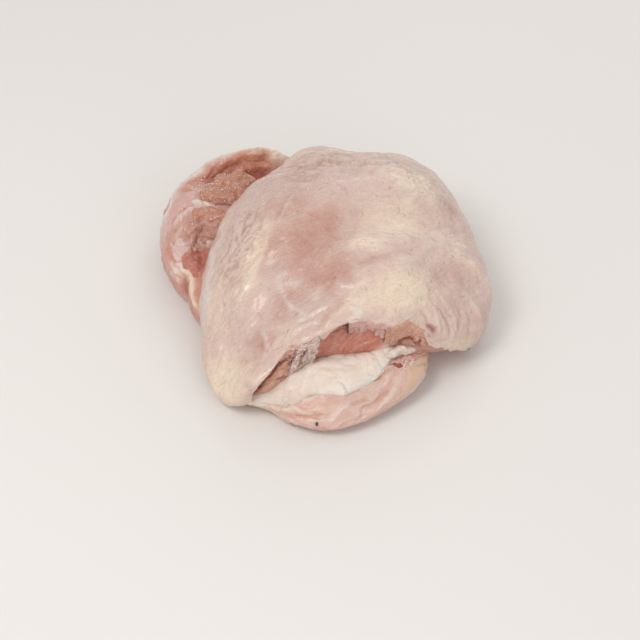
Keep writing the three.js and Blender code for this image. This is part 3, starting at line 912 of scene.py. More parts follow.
def profile(columns, fullness):
    """Once round a flat profile: the share of the way across it, and the height from -1 to 1, which
    is the sine of the angle to the power of 2 over the fullness."""
    angle = np.linspace(0, 2 * math.pi, columns, endpoint=False)
    return 0.5 - 0.5 * np.cos(angle), -fuller(np.sin(angle), fullness)


def rounded_ends(rows, bluntness, margin=0.004):
    """Share of the full height along a piece that is rounded off at both ends. The margin keeps
    its end rings from shrinking to a point."""
    place = np.linspace(margin, 1 - margin, rows)
    return np.sqrt(np.clip(1 - np.abs(2 * place - 1) ** bluntness, 0, 1))[:, None]


def patch_on(place, upper, lower, thickness, rows, columns, fullness):
    """A pad that lies on a surface between two lines of bearing and polar angle: its profile is
    carried along them, raised by the thickness outside and sunk a little inside."""
    top, bottom = along_path(upper, rows)[:, None], along_path(lower, rows)[:, None]
    across, height = profile(columns, fullness)
    angles = top + (bottom - top) * across[None, :, None]
    bearing, polar = angles[..., 0], angles[..., 1]
    lift = np.where(height > 0, thickness, PATCH_SUNK) * height * rounded_ends(rows, 6)
    return place(bearing, polar) + lift[..., None] * place_normals(place, bearing, polar)


def sheet_between(upper, lower, thickness, bulge, waist, rows, columns):
    """A thin sheet between two lines of points: its profile goes straight across from one to the
    other, with a bulge outwards and a waist inwards that are greatest half way."""
    top, bottom = along_path(upper, rows), along_path(lower, rows)
    across, height = profile(columns, 3.0)
    way = bottom - top
    run = np.gradient(top + bottom, axis=0)
    out = unit(np.cross(way, run))
    run = unit(run) * np.linspace(-waist, waist, rows)[:, None]
    lift = bulge * 4 * across * (1 - across) + thickness / 2 * height * rounded_ends(rows, 8)
    middle = top[:, None] + way[:, None] * across[:, None]
    middle = middle - run[:, None] * np.sin(math.pi * across)[:, None]
    return middle + lift[..., None] * out[:, None]


# Finishes


class Wire:
    """A node's output that takes part in Python expressions: each operator adds its Math node."""

    def __init__(self, finish, socket):
        self.finish = finish
        self.socket = socket

    def _math(self, operation, left, right=0.0):
        return self.finish.node("ShaderNodeMath", {"operation": operation}, {0: left, 1: right})

    def __add__(self, other):
        return self._math("ADD", self, other)

    def __radd__(self, other):
        return self._math("ADD", other, self)

    def __sub__(self, other):
        return self._math("SUBTRACT", self, other)

    def __rsub__(self, other):
        return self._math("SUBTRACT", other, self)

    def __mul__(self, other):
        return self._math("MULTIPLY", self, other)

    def __rmul__(self, other):
        return self._math("MULTIPLY", other, self)

    def __abs__(self):
        return self._math("ABSOLUTE", self)

    def clamped(self):
        """Kept within 0 to 1."""
        return self.finish.node("ShaderNodeClamp", None, {"Value": self})

    def between(self, low, high):
        """0 below low, 1 above high, smooth between."""
        return self.finish.node(
            "ShaderNodeMapRange", {"interpolation_type": "SMOOTHSTEP"},
            {"Value": self, "From Min": low, "From Max": high},
        )

    def ragged(self, *breaks):
        """Broken up by noises, each given with its amount, and kept within 0 to 1."""
        value = self
        for noise, amount in breaks:
            value = value + (noise - 0.5) * amount
        return value.clamped()


class Finish:
    """A material whose nodes are added by expressions."""

    def __init__(self, name):
        self.material = bpy.data.materials.new(name)
        self.material.use_nodes = True
        self.tree = self.material.node_tree
        self.tree.nodes.clear()
        metres = self.node("ShaderNodeTexCoord", output="Object")
        self.place = self.node(
            "ShaderNodeVectorMath", {"operation": "SCALE"}, {0: metres, "Scale": 1 / MM}
        )

    def node(self, kind, settings=None, inputs=None, output=0):
        """Adds a node, sets its settings first, then the values or links of its sockets."""
        node = self.tree.nodes.new(kind)
        for name, value in (settings or {}).items():
            setattr(node, name, value)
        for name, value in (inputs or {}).items():
            if isinstance(value, Wire):
                self.tree.links.new(value.socket, node.inputs[name])
            else:
                node.inputs[name].default_value = value
        return Wire(self, node.outputs[output]) if node.outputs else None

    def mask(self, name):
        """A value kept on the mesh."""
        return self.node("ShaderNodeAttribute", {"attribute_name": name}, output="Fac")

    def noise(self, pitch, detail=2.0, roughness=0.5, distortion=0.0, place=None):
        """Noise of about 0 to 1 with that pitch in millimetres."""
        return self.node(
            "ShaderNodeTexNoise", None,
            {"Vector": place or self.place, "Scale": 1 / pitch, "Detail": detail,
             "Roughness": roughness, "Distortion": distortion},
        )

    def squeezed(self, turn, times):
        """The place turned by three angles in degrees and drawn out by three factors."""
        return self.node(
            "ShaderNodeMapping", {"vector_type": "TEXTURE"},
            {"Vector": self.place, "Rotation": tuple(math.radians(a) for a in turn),
             "Scale": times},
        )

    def mix(self, share, colour_a, colour_b):
        """Colour a turned into colour b by a share."""
        inputs = {0: share, 6: opaque(colour_a), 7: opaque(colour_b)}
        return self.node("ShaderNodeMix", {"data_type": "RGBA"}, inputs, output=2)

    def layered(self, base, layers):
        """A colour with layers over it, the lowest first, each given as its share and colour."""
        for share, over in layers:
            base = self.mix(share, base, over)
        return base

    def moist(self, base, roughness, height, depth, wet, scatter, scatter_radius):
        """Closes the material with a moist body that scatters light a little below its surface."""
        normal = self.node(
            "ShaderNodeBump", None, {"Strength": 1.0, "Distance": depth * MM, "Height": height}
        )
        body = self.node("ShaderNodeBsdfPrincipled", None, {
            "Base Color": base, "Roughness": roughness, "Normal": normal, "Coat Weight": wet,
            "Coat Roughness": 0.18, "Subsurface Weight": scatter,
            "Subsurface Radius": (1.0, 0.42, 0.25), "Subsurface Scale": scatter_radius * MM,
            "IOR": 1.4,
        })
        self.node("ShaderNodeOutputMaterial", None, {"Surface": body})
        return self.material


def opaque(value):
    """A colour with its alpha, or the link that it is."""
    return value if isinstance(value, Wire) else (*value, 1.0)


def skin_finish(sizes, colours):
    """Skin: cream over fat, pink over flesh, lilac under a film, with follicles and creases,
    painted shade in the creases and wrinkles, and pale parts that are partly painted highlights.
    """
    f = Finish("raw_skin")
    mottle, fine, grain = f.noise(7.0, 4.0, 0.6), f.noise(1.6, 3.0, 0.6), f.noise(0.7, 2.0, 0.6)
    vein = 1 - abs(f.noise(16.0, 3.0, 0.5, 0.6) - 0.5).between(0.0, 0.012)
    follicle = 1 - f.node(
        "ShaderNodeTexVoronoi", None,
        {"Vector": f.place, "Scale": MM / sizes.follicle_spacing},
    ).between(0.05, 0.2)
    wrinkles = f.noise(1.3, 2.0, 0.5, 0.4, f.squeezed((0, 0, 20), (4.0, 1.0, 1.0)))
    base = f.layered(colours.skin, [
        (f.mask("fat").ragged((mottle, 0.6)), colours.skin_fat),
        (f.mask("flush").ragged((mottle, 0.5), (fine, 0.2)) * 0.9, colours.skin_flush),
        (f.mask("veil").ragged((f.noise(5.0, 4.0, 0.65), 0.6)) * 0.65, colours.skin_veil),
        # Pale skin, partly painted highlights.
        (f.mask("pale_and_highlight").ragged((fine, 0.3)) * 0.7, colours.skin_pale_and_highlight),
        (vein * 0.15, colours.skin_flush),
        # Painted shade in the creases.
        (f.mask("crease_shade").clamped() * 0.55, colours.skin_crease_shade),
        # Dark red where the skin's line is sunk near the tear, partly painted shade in that groove.
        (f.mask("blood_and_hole_shade").clamped() * 0.8, colours.flesh_dark_red_and_hollow_shade),
        # Pale flecks on the tops of the fine bumps: painted glints.
        (fine.between(0.5, 0.75) * 0.18, colours.skin_pale_and_highlight),
        (follicle * 0.22, colours.skin_fat),
        # Painted shade in the valleys of the wrinkles.
        ((1 - wrinkles).between(0.62, 0.8) * 0.14, colours.skin_crease_shade),
    ])
    height = follicle * 0.3 + wrinkles * 0.5 + fine * 0.35 + grain * 0.15
    roughness = 0.2 + f.noise(4.0, 3.0) * 0.26
    return f.moist(base, roughness, height, depth=1.3, wet=0.55, scatter=0.16, scatter_radius=1.4)


def flesh_finish(name, colours, fibre_turn, fibre_pitch):
    """Cut flesh: pink to red and brown, drawn out into fibres, with a silvery film in places, dark
    red that is partly painted shade in its hollows, grooves and holes, and pale lines that are
    partly painted highlights.
    """
    f = Finish(name)
    fibres = f.noise(fibre_pitch, 3.0, 0.55, 0.5, f.squeezed(fibre_turn, (9.0, 1.0, 1.0)))
    mottle, fine, speck = f.noise(6.0, 4.0, 0.6), f.noise(1.4, 3.0, 0.6), f.noise(0.8, 2.0, 0.5)
    brown = f.mask("brown").ragged((f.noise(4.0, 4.0, 0.6), 0.7))
    film = (f.mask("veil") - f.mask("rust") * 0.8).ragged((mottle, 0.7), (fibres, 0.3))
    frost = (f.mask("frost") * f.noise(1.1, 2.0, 0.6).between(0.57, 0.64)).clamped()
    base = f.layered(colours.flesh, [
        (f.mask("red").ragged((mottle, 0.5), (fibres, 0.4)), colours.flesh_red),
        (brown * 0.9, colours.flesh_brown),
        (brown * f.noise(2.4, 3.0, 0.6).between(0.52, 0.68) * 0.5, colours.flesh_dark_red_and_hollow_shade),
        (film * 0.85, colours.film),
        (f.mask("rose").ragged((fine, 0.4)) * 0.85, colours.flesh_rose),
        (f.mask("tan").ragged((mottle, 0.6)) * 0.9, colours.flesh_tan),
        (f.mask("rust").ragged((fine, 0.3)) * 0.75, colours.flesh_rust),
        (f.mask("fat").ragged((mottle, 0.5)) * 0.9, colours.skin_fat),
        (f.mask("groove") * 0.5, colours.flesh_rose),
        # Dark red, partly painted shade in hollows, grooves and holes.
        (f.mask("dark_red_and_hollow_shade").clamped(), colours.flesh_dark_red_and_hollow_shade),
        # Pale lines, partly painted highlights on ridges.
        (f.mask("pale_and_highlight").ragged((fine, 0.5)) * 0.8, colours.fat),
        (fibres.between(0.45, 0.75) * 0.18, colours.film),
        (speck.between(0.6, 0.75) * 0.3, colours.fat),
        (frost * 0.55, colours.frost),
    ])
    height = fibres * 0.6 + fine * 0.4 + speck * 0.15 + frost * 0.7
    roughness = 0.26 + fine * 0.25
    return f.moist(base, roughness, height, depth=1.0, wet=0.5, scatter=0.2, scatter_radius=1.4)


def fat_finish(colours):
    """White fat: cream, greyed where its lumps meet as painted shade, with faint darker lines and
    pink lines.
    """
    f = Finish("white_fat")
    mottle, fine = f.noise(6.0, 4.0, 0.55), f.noise(1.1, 3.0, 0.6)
    line = 1 - abs(f.noise(9.0, 3.0, 0.5, 0.8) - 0.5).between(0.0, 0.015)
    base = f.layered(colours.fat, [
        (mottle.between(0.4, 0.75) * 0.5, colours.skin_fat),
        # Painted shade, grey, in the valleys between the lumps and in the crease lines.
        (f.mask("crease_shade") * 0.45, colours.skin_veil),
        (f.mask("flush"), colours.skin_flush),
        # Faint darker lines in the colour of the crease shade.
        (line * 0.12, colours.skin_crease_shade),
    ])
    height = fine * 0.4 + mottle * 0.6 + f.noise(0.45) * 0.12
    roughness = 0.34 + fine * 0.22
    return f.moist(base, roughness, height, depth=0.7, wet=0.3, scatter=0.35, scatter_radius=2.6)


def frost_finish(colours):
    """Grains of frost: white and icy."""
    f = Finish("frost")
    cloudy = f.noise(0.6, 2.0)
    base = f.mix(cloudy.between(0.35, 0.65) * 0.5, colours.frost, colours.film)
    roughness = 0.25 + cloudy * 0.3
    height = f.noise(0.3)
    return f.moist(base, roughness, height, depth=0.2, wet=0.3, scatter=0.3, scatter_radius=0.8)


def stub_finish(colours):
    """Feather stub: dark horn, paler in streaks."""
    f = Finish("feather_stub")
    streak = f.noise(0.5, 2.0, 0.5, 0.3, f.squeezed((0, 0, 90), (5.0, 1.0, 1.0)))
    base = f.mix(streak.between(0.5, 0.8) * 0.4, colours.stub, colours.flesh_brown)
    roughness = 0.3 + streak * 0.2
    return f.moist(base, roughness, streak, depth=0.15, wet=0.4, scatter=0.1, scatter_radius=0.5)


# Shapes


def creased(points, wandering, zones, unit):
    """Heights of zones and the strength of the painted shade in their creases: in each, the
    absolute value of noise that is drawn out along the way the creases run, so that soft hills meet
    in sharp valleys, where the shade is painted."""
    height = np.zeros(points.shape[:-1])
    # depth: how strongly shade is painted in the crease valleys
    depth = np.zeros(points.shape[:-1])
    for k, zone in enumerate(zones):
        drawn = drawn_out(wandering, zone["along"], zone["length"])
        hills = np.abs(clouds(drawn, zone["pitch"], 60 + k))
        within = bell(points, zone["at"], zone["spread"], zone["turn"])
        height += zone["height"] * unit * within * (2 * hills - 0.6)
        depth = np.maximum(depth, zone["valley_shade"] * within * (1 - soft_step(hills, 0.0, 0.2)))
    return height, depth


def skin_surface(sizes):
    """The skin as a grid: down the outside of the upper half to its edge, round the lip in half a
    circle and back up the inside. The edge is a ragged ring at the tear and tucked under
    elsewhere."""
    bearing = np.linspace(0, WHOLE_TURN, SKIN_COLUMNS, endpoint=False)
    ring = upper_points(bearing, np.full(SKIN_COLUMNS, 90.0))
    torn = soft_step(bearing, TORN_FROM - 5, TORN_FROM)
    torn = torn * soft_step(-bearing, -TORN_TO - 5, -TORN_TO)
    ragged = 1.6 * clouds(ring, 6.0, 3) + 1.8 * clouds(ring, 2.8, 4) + 1.2 * clouds(ring, 1.3, 5)
    edge = around(SKIN_EDGE, bearing) + ragged * torn
    polar = np.linspace(0, 1, SKIN_ROWS + 1)[1:, None] * edge
    base = upper_points(bearing, polar)
    normal = grid_normals(base)
    wandering = drifted(base, 12.0, 2.2, 40)
    height, crease_shade = creased(base, wandering, SKIN_CREASES, sizes.crease_height / MM)
    everywhere = np.abs(clouds(drawn_out(wandering, (0.9, 0.3, 0), 2.2), 4.0, 90))
    height += 0.4 * everywhere + 0.8 * clouds(base, 17.0, 1) + 0.4 * clouds(base, 7.0, 2)
    # Painted shade in the valleys of the all-over relief.
    crease_shade = np.maximum(crease_shade, 0.2 * (1 - soft_step(everywhere, 0.0, 0.15)))
    lines, tints = drawn_lines(drifted(base, 5.0, 0.7, 45), upper_points, SKIN_LINES)
    height += lines
    outer = base + height[..., None] * normal
    masks = tinted({
        "fat": patches(base, SKIN_FAT, 0.15, 0.95, 1),
        "flush": patches(base, SKIN_FLUSH, 0.05, 1.25, 2),
        "veil": patches(base, SKIN_VEIL, 0.1, 1.05, 3),
        "pale_and_highlight": patches(base, SKIN_PALE_AND_HIGHLIGHT, 0.2, 1.1, 4),
        "crease_shade": crease_shade,
    }, tints)
    radius = sizes.skin_thickness / MM / 2
    way = unit(outer[-1] - outer[-2])
    angle = np.linspace(0, math.pi, LIP_ROWS + 1)[1:, None, None]
    lip = outer[-1] + radius * (np.sin(angle) * way - (1 - np.cos(angle)) * normal[-1])
    back = np.linspace(0, 1, INNER_ROWS + 1)[1:, None] * INNER_REACH
    inner_base = upper_points(bearing, edge - back)
    thickness = 2 * radius + 0.1 * back[..., None]
    fading = height[-1][None, :, None] * np.exp(-back / 3)[..., None]
    inner = inner_base - thickness * place_normals(upper_points, bearing, edge - back)
    inner += fading * normal[-1]
    points = np.concatenate([outer, lip, inner])
    points[..., 2] = np.maximum(points[..., 2], 0)
    more = LIP_ROWS + INNER_ROWS
    masks = {name: np.vstack([m, np.repeat(m[-1:], more, axis=0)]) for name, m in masks.items()}
    lip_rows = np.zeros(points.shape[:2])
    lip_rows[SKIN_ROWS - 1:] = torn
    masks["flush"] = np.maximum(masks["flush"], 0.5 * lip_rows)
    return points, masks


def lower_surface():
    """The lower half as a grid by bearing and polar angle. Its front rim has ridges that fan out
    from its right end, each with a groove below it; its lobe has an outer roll, a pocket, a hollow
    and lumps, all drawn as lines, and fibres that are drawn out noise."""
    bearing = np.linspace(0, WHOLE_TURN, LOWER_COLUMNS, endpoint=False)
    polar = np.concatenate([
        np.linspace(start, end, count, endpoint=False) for start, end, count in LOWER_POLAR
    ])[1:, None]
    polar = np.broadcast_to(polar, (len(polar), LOWER_COLUMNS))
    base = lower_points(bearing, polar)
    normal = grid_normals(base)
    lobe = soft_step(base[..., 1], -14, 8) * soft_step(-base[..., 0], 5, 20)
    front = soft_step(-base[..., 1], 36, 46)
    folded = drifted(base, 10.0, 2.0, 30)
    fibres = np.abs(clouds(drawn_out(folded, (0.4, 0.9, 0.1), 4.0), 3.2, 23))
    layers = np.abs(clouds(drawn_out(folded, (0.94, 0.3, 0.12), 7.0), 2.6, 26))
    near = drifted(base, 6.0, 1.2, 33)
    grooves = [
        ([(b, p + GROOVE_GAP) for b, p in line], width, -GROOVE_SHARE * rise, "groove", 1.0)
        for line, width, rise, _, _ in RIM_LINES if rise > 0
    ]
    rim_height, rim_tints = drawn_lines(near, lower_points, RIM_LINES + RIM_ZONES + grooves)
    lobe_height, lobe_tints = drawn_lines(near, lower_points, LOBE_LINES)
    height = rim_height + lobe_height + 0.7 * lobe * fibres + 0.5 * front * layers
    lumps = 0.7 * clouds(base, 10.0, 24) + 0.5 * np.abs(clouds(base, 4.5, 25))
    height += (0.4 + 0.6 * lobe) * lumps
    points = base + height[..., None] * normal
    points[..., 2] = np.maximum(points[..., 2], LOWER_LIFT)
    rim = front * soft_step(polar, 44, 54)
    veil = np.maximum(patches(base, FLESH_VEIL, 0.2, 0.9, 8), 0.5 * rim)
    masks = tinted({
        "red": patches(base, FLESH_RED, 0.15, 1.0, 6),
        "brown": patches(base, FLESH_BROWN, 0.15, 1.0, 7),
        "veil": veil,
        "fat": np.maximum(patches(base, FLESH_FAT, 0.3, 0.8, 9), 0.35 * rim),
    }, lobe_tints)
    return points, tinted(masks, rim_tints)


def meat_surface():
    """The meat under the skin: the upper half again, further in and with its widest ring lower
    down at the tear, so that its side stands up steeply behind the lip. Its fibres run up to the
    right."""
    shown = np.linspace(*MEAT_SHOWN, MEAT_COLUMNS, endpoint=False)
    hidden = np.linspace(
        MEAT_SHOWN[1], MEAT_SHOWN[0] + WHOLE_TURN, MEAT_HIDDEN_COLUMNS, endpoint=False
    )
    bearing = np.concatenate([shown, hidden])
    polar = np.concatenate([np.linspace(*rows) for rows in MEAT_POLAR])[:, None]
    base = meat_points(bearing, polar)
    normal = grid_normals(base)
    folded = drifted(base, 8.0, 1.2, 50)
    fibre_way = (0.78, -0.1, 0.62)
    fibres = np.abs(clouds(drawn_out(folded, fibre_way, 7.0), 1.9, 51))
    coarse = clouds(drawn_out(folded, fibre_way, 3.0), 7.0, 52)
    gap = bell(base, (-15, -57, 23), (7, 14, 11))
    right = soft_step(base[..., 0], 23, 28)
    height = 0.5 * fibres + 0.6 * coarse + gap * (1.8 * np.abs(clouds(folded, 3.4, 53)) - 0.4)
    lines, tints = drawn_lines(drifted(base, 4.0, 0.6, 54), meat_points, MEAT_LINES)
    masks = tinted({
        "red": np.clip(1.0 - 0.85 * gap - 0.9 * right, 0, 1),
        "brown": np.clip(0.75 * gap + 0.1 + 0.3 * right, 0, 1),
        "rose": 0.8 * right,
        "veil": np.clip(0.35 * gap, 0, 1),
    }, tints)
    points = base + (height + lines)[..., None] * normal
    points[..., 2] = np.maximum(points[..., 2], 2 * LOWER_LIFT)
    return points, masks


def fat_surface(sizes):
    """The fat: a pad on the lower half, in puffy lumps that are the absolute value of noise."""
    base = patch_on(lower_points, FAT_TOP, FAT_BOTTOM, FAT_THICKNESS, *FAT_GRID, FAT_FULLNESS)
    folded = drifted(base, 11.0, 2.4, 70)
    lumps = np.abs(clouds(folded, 9.0, 71))
    small = np.abs(clouds(folded, 4.5, 72))
    height = sizes.fat_lumps / MM * (0.7 * lumps + 0.2 * small - 0.25)
    height += 0.7 * clouds(base, 14.0, 73)
    lines, tints = drawn_lines(drifted(base, 5.0, 0.8, 74), lower_points, FAT_LINES)
    masks = tinted({
        # Painted shade in the valleys between the lumps, and a greyer patch at the low left end.
        "crease_shade": 0.3 * (1 - soft_step(np.minimum(lumps, small * 1.8), 0.0, 0.08))
        + 0.3 * bell(base, (-18, -62, 12), (12, 8, 8)),
        "flush": 0.35 * bell(base, (-9, -66, 12), (9, 5, 5)),
    }, tints)
    return base + (height + lines)[..., None] * grid_normals(base), masks


def strand_surfaces():
    """Each strand as a grid: its thin profile carried along its path, knotted a little by noise."""
    for k, (tint, path) in enumerate(STRANDS):
        base = drifted(carried(path, *STRAND_GRID, 2.2, 2.4), 4.0, 0.5, 78 + k)
        share = min(1.0, path[1][4])
        height = share * (0.5 * clouds(base, 3.6, 80 + k) + 0.3 * clouds(base, 1.4, 85 + k))
        yield base + height[..., None] * grid_normals(base), tint_masks(base, tint)


def sheet_surfaces():
    """Each sheet as a grid, with an uneven lower edge and low folds."""
    for k, (tint, thickness, bulge, waist, tatters, upper, onto, lower) in enumerate(SHEETS):
        place = {"lower": lower_points, "meat": meat_points}[onto]
        top = upper_points(*along_path(upper, SHEET_LINE_POINTS).T)
        bottom = place(*along_path(lower, SHEET_LINE_POINTS).T)
        bottom += layered_clouds(bottom, 2.2, 2, 95 + k)[:, None]
        base = sheet_between(top, bottom, thickness, bulge, waist, *SHEET_GRID)
        base = drifted(drifted(base, 4.0, 0.8, 110 + k), 1.7, tatters, 140 + k)
        height = 0.7 * tatters * (clouds(base, 3.0, 96 + k) + np.abs(clouds(base, 1.3, 97 + k)))
        yield base + height[..., None] * grid_normals(base), tint_masks(base, tint)


def patch_surfaces():
    """Each patch of the lobe as a grid, with lumps and an uneven outline, and a tint that fades
    towards its edges."""
    rows, columns = PATCH_GRID
    for k, (tint, thickness, fullness, lumps, upper, lower) in enumerate(LOBE_PATCHES):
        base = patch_on(lower_points, upper, lower, thickness, rows, columns, fullness)
        base = drifted(base, 5.0, 0.8, 120 + k)
        hills = np.abs(clouds(base, 6.2, 130 + k)) + 0.2 * clouds(base, 2.4, 131 + k)
        height = lumps * (hills - 0.3)
        inside = np.maximum(profile(columns, fullness)[1], 0) * rounded_ends(rows, 6)
        share = soft_step(inside + 0.3 * clouds(base, 2.2, 150 + k), 0.1, 0.7)
        masks = {name: share * mask for name, mask in tint_masks(base, tint).items()}
        masks["veil"] = np.maximum(masks["veil"], PATCH_EDGE_VEIL * (1 - share))
        yield base + height[..., None] * grid_normals(base), masks


def corners_of(name):
    """A finished piece's corners and their normals, both in millimetres."""
    mesh = bpy.data.objects[name].data
    values = np.empty((2, len(mesh.vertices) * 3), np.float32)
    mesh.vertices.foreach_get("co", values[0])
    mesh.vertex_normals.foreach_get("vector", values[1])
    return values[0].reshape(-1, 3) / MM, values[1].reshape(-1, 3)


def frost_grains(sizes):
    """Corners and faces of all the grains of frost: each is a twelve-cornered ball of 20 faces,
    stretched and dented at random, half sunk where it sits on a piece."""
    random = np.random.default_rng(77)
    golden = (1 + math.sqrt(5)) / 2
    ball = np.array([
        (-1, golden, 0), (1, golden, 0), (-1, -golden, 0), (1, -golden, 0), (0, -1, golden),
        (0, 1, golden), (0, -1, -golden), (0, 1, -golden), (golden, 0, -1), (golden, 0, 1),
        (-golden, 0, -1), (-golden, 0, 1),
    ]) / math.sqrt(1 + golden**2)
    faces = np.array([
        (0, 11, 5), (0, 5, 1), (0, 1, 7), (0, 7, 10), (0, 10, 11), (1, 5, 9), (5, 11, 4),
        (11, 10, 2), (10, 7, 6), (7, 1, 8), (3, 9, 4), (3, 4, 2), (3, 2, 6), (3, 6, 8), (3, 8, 9),
        (4, 9, 5), (2, 4, 11), (6, 2, 10), (8, 6, 7), (9, 8, 1),
    ])
    places, ways = [], []
    for piece, at, spread, count in GRAIN_PLACES:
        corners, normals = corners_of(piece)
        weight = bell(corners, at, spread) * (normals[:, 2] > -0.2)
        chosen = random.choice(len(corners), count, replace=False, p=weight / weight.sum())
        places.append(corners[chosen])
        ways.append(normals[chosen])
    place, way = np.vstack(places), np.vstack(ways)
    count = len(place)
    radius = sizes.grain_size / MM / 2 * random.uniform(0.45, 1.0, (count, 1, 1))
    stretch = random.uniform(0.55, 1.5, (count, 1, 3))
    dents = random.uniform(0.75, 1.15, (count, len(ball), 1))
    corners = place[:, None] + way[:, None] * radius * 0.35 + ball[None] * radius * stretch * dents
    every = faces[None] + len(ball) * np.arange(count)[:, None, None]
    return corners.reshape(-1, 3), every.reshape(-1, 3)


def tint_masks(points, tint):
    """Masks of a piece that has one tint throughout."""
    share = np.ones(points.shape[:2])
    return {name: share * MIXTURES[tint].get(name, 0.0) for name in FLESH_TINTS}


def flesh_piece(name, grids):
    """One piece of flesh with the finish that the table gives it."""
    finish, fibre_turn, fibre_pitch = FLESH_FINISHES[name]
    shells(name, grids, flesh_finish(finish, settings()[1], fibre_turn, fibre_pitch))


# Operators


class BREAST_OT_skin(bpy.types.Operator):
    """Adds the skin over the upper half"""

    bl_idname = "breast.skin"
    bl_label = "Skin"

    def execute(self, context):
        sizes, colours = settings()
        points, masks = skin_surface(sizes)
        shells("skin", [(points, masks)], skin_finish(sizes, colours), np.array(SKIN_CLOSES_AT))
        return {"FINISHED"}


class BREAST_OT_lower_half(bpy.types.Operator):
    """Adds the lower half, with the lobe at the back left and the layered rim at the front"""

    bl_idname = "breast.lower_half"
    bl_label = "Lower half"

    def execute(self, context):
        flesh_piece("lower_half", [lower_surface()])
        return {"FINISHED"}


class BREAST_OT_torn_meat(bpy.types.Operator):
    """Adds the meat that shows under the torn lip of the skin"""

    bl_idname = "breast.torn_meat"
    bl_label = "Torn meat"

    def execute(self, context):
        flesh_piece("torn_meat", [meat_surface()])
        return {"FINISHED"}


class BREAST_OT_fat(bpy.types.Operator):
    """Adds the band of white fat between the halves"""

    bl_idname = "breast.fat"
    bl_label = "Fat"

    def execute(self, context):
        sizes, colours = settings()
        shells("fat_band", [fat_surface(sizes)], fat_finish(colours))
        return {"FINISHED"}


class BREAST_OT_strands(bpy.types.Operator):
    """Adds the strands and shreds at the tear"""

    bl_idname = "breast.strands"
    bl_label = "Strands"

    def execute(self, context):
        flesh_piece("strands", strand_surfaces())
        return {"FINISHED"}


class BREAST_OT_sheets(bpy.types.Operator):
    """Adds the film and soft tissue under the torn lip"""

    bl_idname = "breast.sheets"
    bl_label = "Sheets"

    def execute(self, context):
        flesh_piece("sheets", sheet_surfaces())
        return {"FINISHED"}


class BREAST_OT_lobe_patches(bpy.types.Operator):
    """Adds the lumps, the films and the smooth red patch on the lobe"""

    bl_idname = "breast.lobe_patches"
    bl_label = "Lobe patches"

    def execute(self, context):
        flesh_piece("lobe_patches", patch_surfaces())
        return {"FINISHED"}


class BREAST_OT_grains(bpy.types.Operator):
    """Adds the grains of frost that still cling to it"""

    bl_idname = "breast.grains"
    bl_label = "Frost grains"

    def execute(self, context):
        sizes, colours = settings()
        corners, faces = frost_grains(sizes)
        mesh = bpy.data.meshes.new("frost_grains")
        mesh.from_pydata((corners * MM).tolist(), [], faces.tolist())
        finished("frost_grains", mesh, frost_finish(colours))
        return {"FINISHED"}


class BREAST_OT_stub(bpy.types.Operator):
    """Adds the stub of a feather at the front"""

    bl_idname = "breast.stub"
    bl_label = "Feather stub"

    def execute(self, context):
        sizes, colours = settings()
        radius = sizes.stub_diameter / MM / 2
        path = [(*place, share * radius, share * radius) for *place, share in STUB]
        points = carried(path, *STUB_GRID, 2.0, 3.0)
        shells("feather_stub", [(points, {})], stub_finish(colours))
        return {"FINISHED"}


FLOOR_SIZE = 4.0
AIM = (-0.001, -0.0185, 0.012)
ELEVATION = math.radians(43)
CAMERA_DISTANCE = 0.75
CAMERA_LENS, SENSOR_WIDTH = 100.7, 36.0  # both in millimetres
# Soft lights: name, place, size, power and tint
LIGHTS = [
    ("key", (-0.4, -0.35, 0.8), 0.4, 3.4, (1.0, 0.98, 0.96)),
    ("fill", (0.35, -0.9, 0.45), 0.8, 2.4, (0.97, 0.98, 1.0)),
    ("back", (0.35, 0.8, 0.6), 0.8, 1.9, (1.0, 0.99, 0.98)),
]
ROOM_TINT, ROOM_STRENGTH = (1.0, 0.99, 0.98, 1.0), 0.64


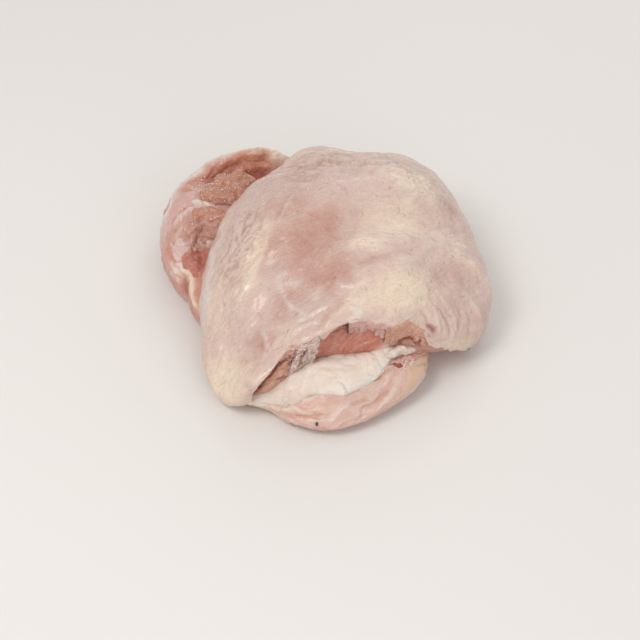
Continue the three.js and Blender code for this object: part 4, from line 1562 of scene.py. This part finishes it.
class BREAST_OT_stage(bpy.types.Operator):
    """Adds the floor, the soft lights and the camera"""

    bl_idname = "breast.stage"
    bl_label = "Stage"

    def execute(self, context):
        colours = settings()[1]
        scene = context.scene
        half = FLOOR_SIZE / 2
        mesh = bpy.data.meshes.new("floor")
        mesh.from_pydata(
            [(-half, -half, 0), (half, -half, 0), (half, half, 0), (-half, half, 0)], [],
            [(0, 1, 2, 3)],
        )
        f = Finish("floor")
        body = f.node("ShaderNodeBsdfPrincipled", None, {
            "Base Color": opaque(colours.floor), "Roughness": 0.55, "Specular IOR Level": 0.3,
        })
        f.node("ShaderNodeOutputMaterial", None, {"Surface": body})
        mesh.materials.append(f.material)
        floor = bpy.data.objects.new("floor", mesh)
        scene.collection.objects.link(floor)
        for light in LIGHTS:
            self.light(*light)
        world = bpy.data.worlds.new("soft_room")
        world.use_nodes = True
        room = world.node_tree.nodes["Background"].inputs
        room["Color"].default_value = ROOM_TINT
        room["Strength"].default_value = ROOM_STRENGTH
        scene.world = world
        scene.view_settings.view_transform = "Standard"
        lens = bpy.data.cameras.new("camera")
        lens.lens = CAMERA_LENS
        lens.sensor_width = SENSOR_WIDTH
        camera = bpy.data.objects.new("camera", lens)
        camera.location = (
            AIM[0],
            AIM[1] - CAMERA_DISTANCE * math.cos(ELEVATION),
            AIM[2] + CAMERA_DISTANCE * math.sin(ELEVATION),
        )
        camera.rotation_euler = (math.radians(90) - ELEVATION, 0, 0)
        scene.collection.objects.link(camera)
        scene.camera = camera
        return {"FINISHED"}

    def light(self, name, place, size, power, tint):
        """A square soft light that faces the meat."""
        lamp = bpy.data.lights.new(name, "AREA")
        lamp.size = size
        lamp.energy = power
        lamp.color = tint
        thing = bpy.data.objects.new(name, lamp)
        thing.location = place
        x, y, z = place
        thing.rotation_euler = (math.atan2(math.hypot(x, y), z), 0, math.atan2(x, -y))
        bpy.context.scene.collection.objects.link(thing)


class BREAST_PT_panel(bpy.types.Panel):
    """Lists the steps that build the breast, its sizes and its colours"""

    bl_idname = "BREAST_PT_panel"
    bl_label = "Raw chicken breast"
    bl_space_type = "VIEW_3D"
    bl_region_type = "UI"
    bl_category = "Chicken"

    def draw(self, context):
        for step in STEPS:
            self.layout.operator(step.bl_idname)
        for group in settings():
            for name in group.__annotations__:
                self.layout.prop(group, name)


STEPS = (
    BREAST_OT_stage,
    BREAST_OT_skin,
    BREAST_OT_lower_half,
    BREAST_OT_torn_meat,
    BREAST_OT_fat,
    BREAST_OT_strands,
    BREAST_OT_sheets,
    BREAST_OT_lobe_patches,
    BREAST_OT_stub,
    BREAST_OT_grains,
)
CLASSES = (BreastSizes, BreastColours, *STEPS, BREAST_PT_panel)


def register():
    for cls in CLASSES:
        bpy.utils.register_class(cls)
    bpy.types.Scene.breast_sizes = bpy.props.PointerProperty(type=BreastSizes)
    bpy.types.Scene.breast_colours = bpy.props.PointerProperty(type=BreastColours)


def unregister():
    del bpy.types.Scene.breast_colours
    del bpy.types.Scene.breast_sizes
    for cls in reversed(CLASSES):
        bpy.utils.unregister_class(cls)


def main():
    register()
    bpy.ops.breast.stage()
    bpy.ops.breast.skin()
    bpy.ops.breast.lower_half()
    bpy.ops.breast.torn_meat()
    bpy.ops.breast.fat()
    bpy.ops.breast.strands()
    bpy.ops.breast.sheets()
    bpy.ops.breast.lobe_patches()
    bpy.ops.breast.stub()
    bpy.ops.breast.grains()


if __name__ == "__main__":
    main()
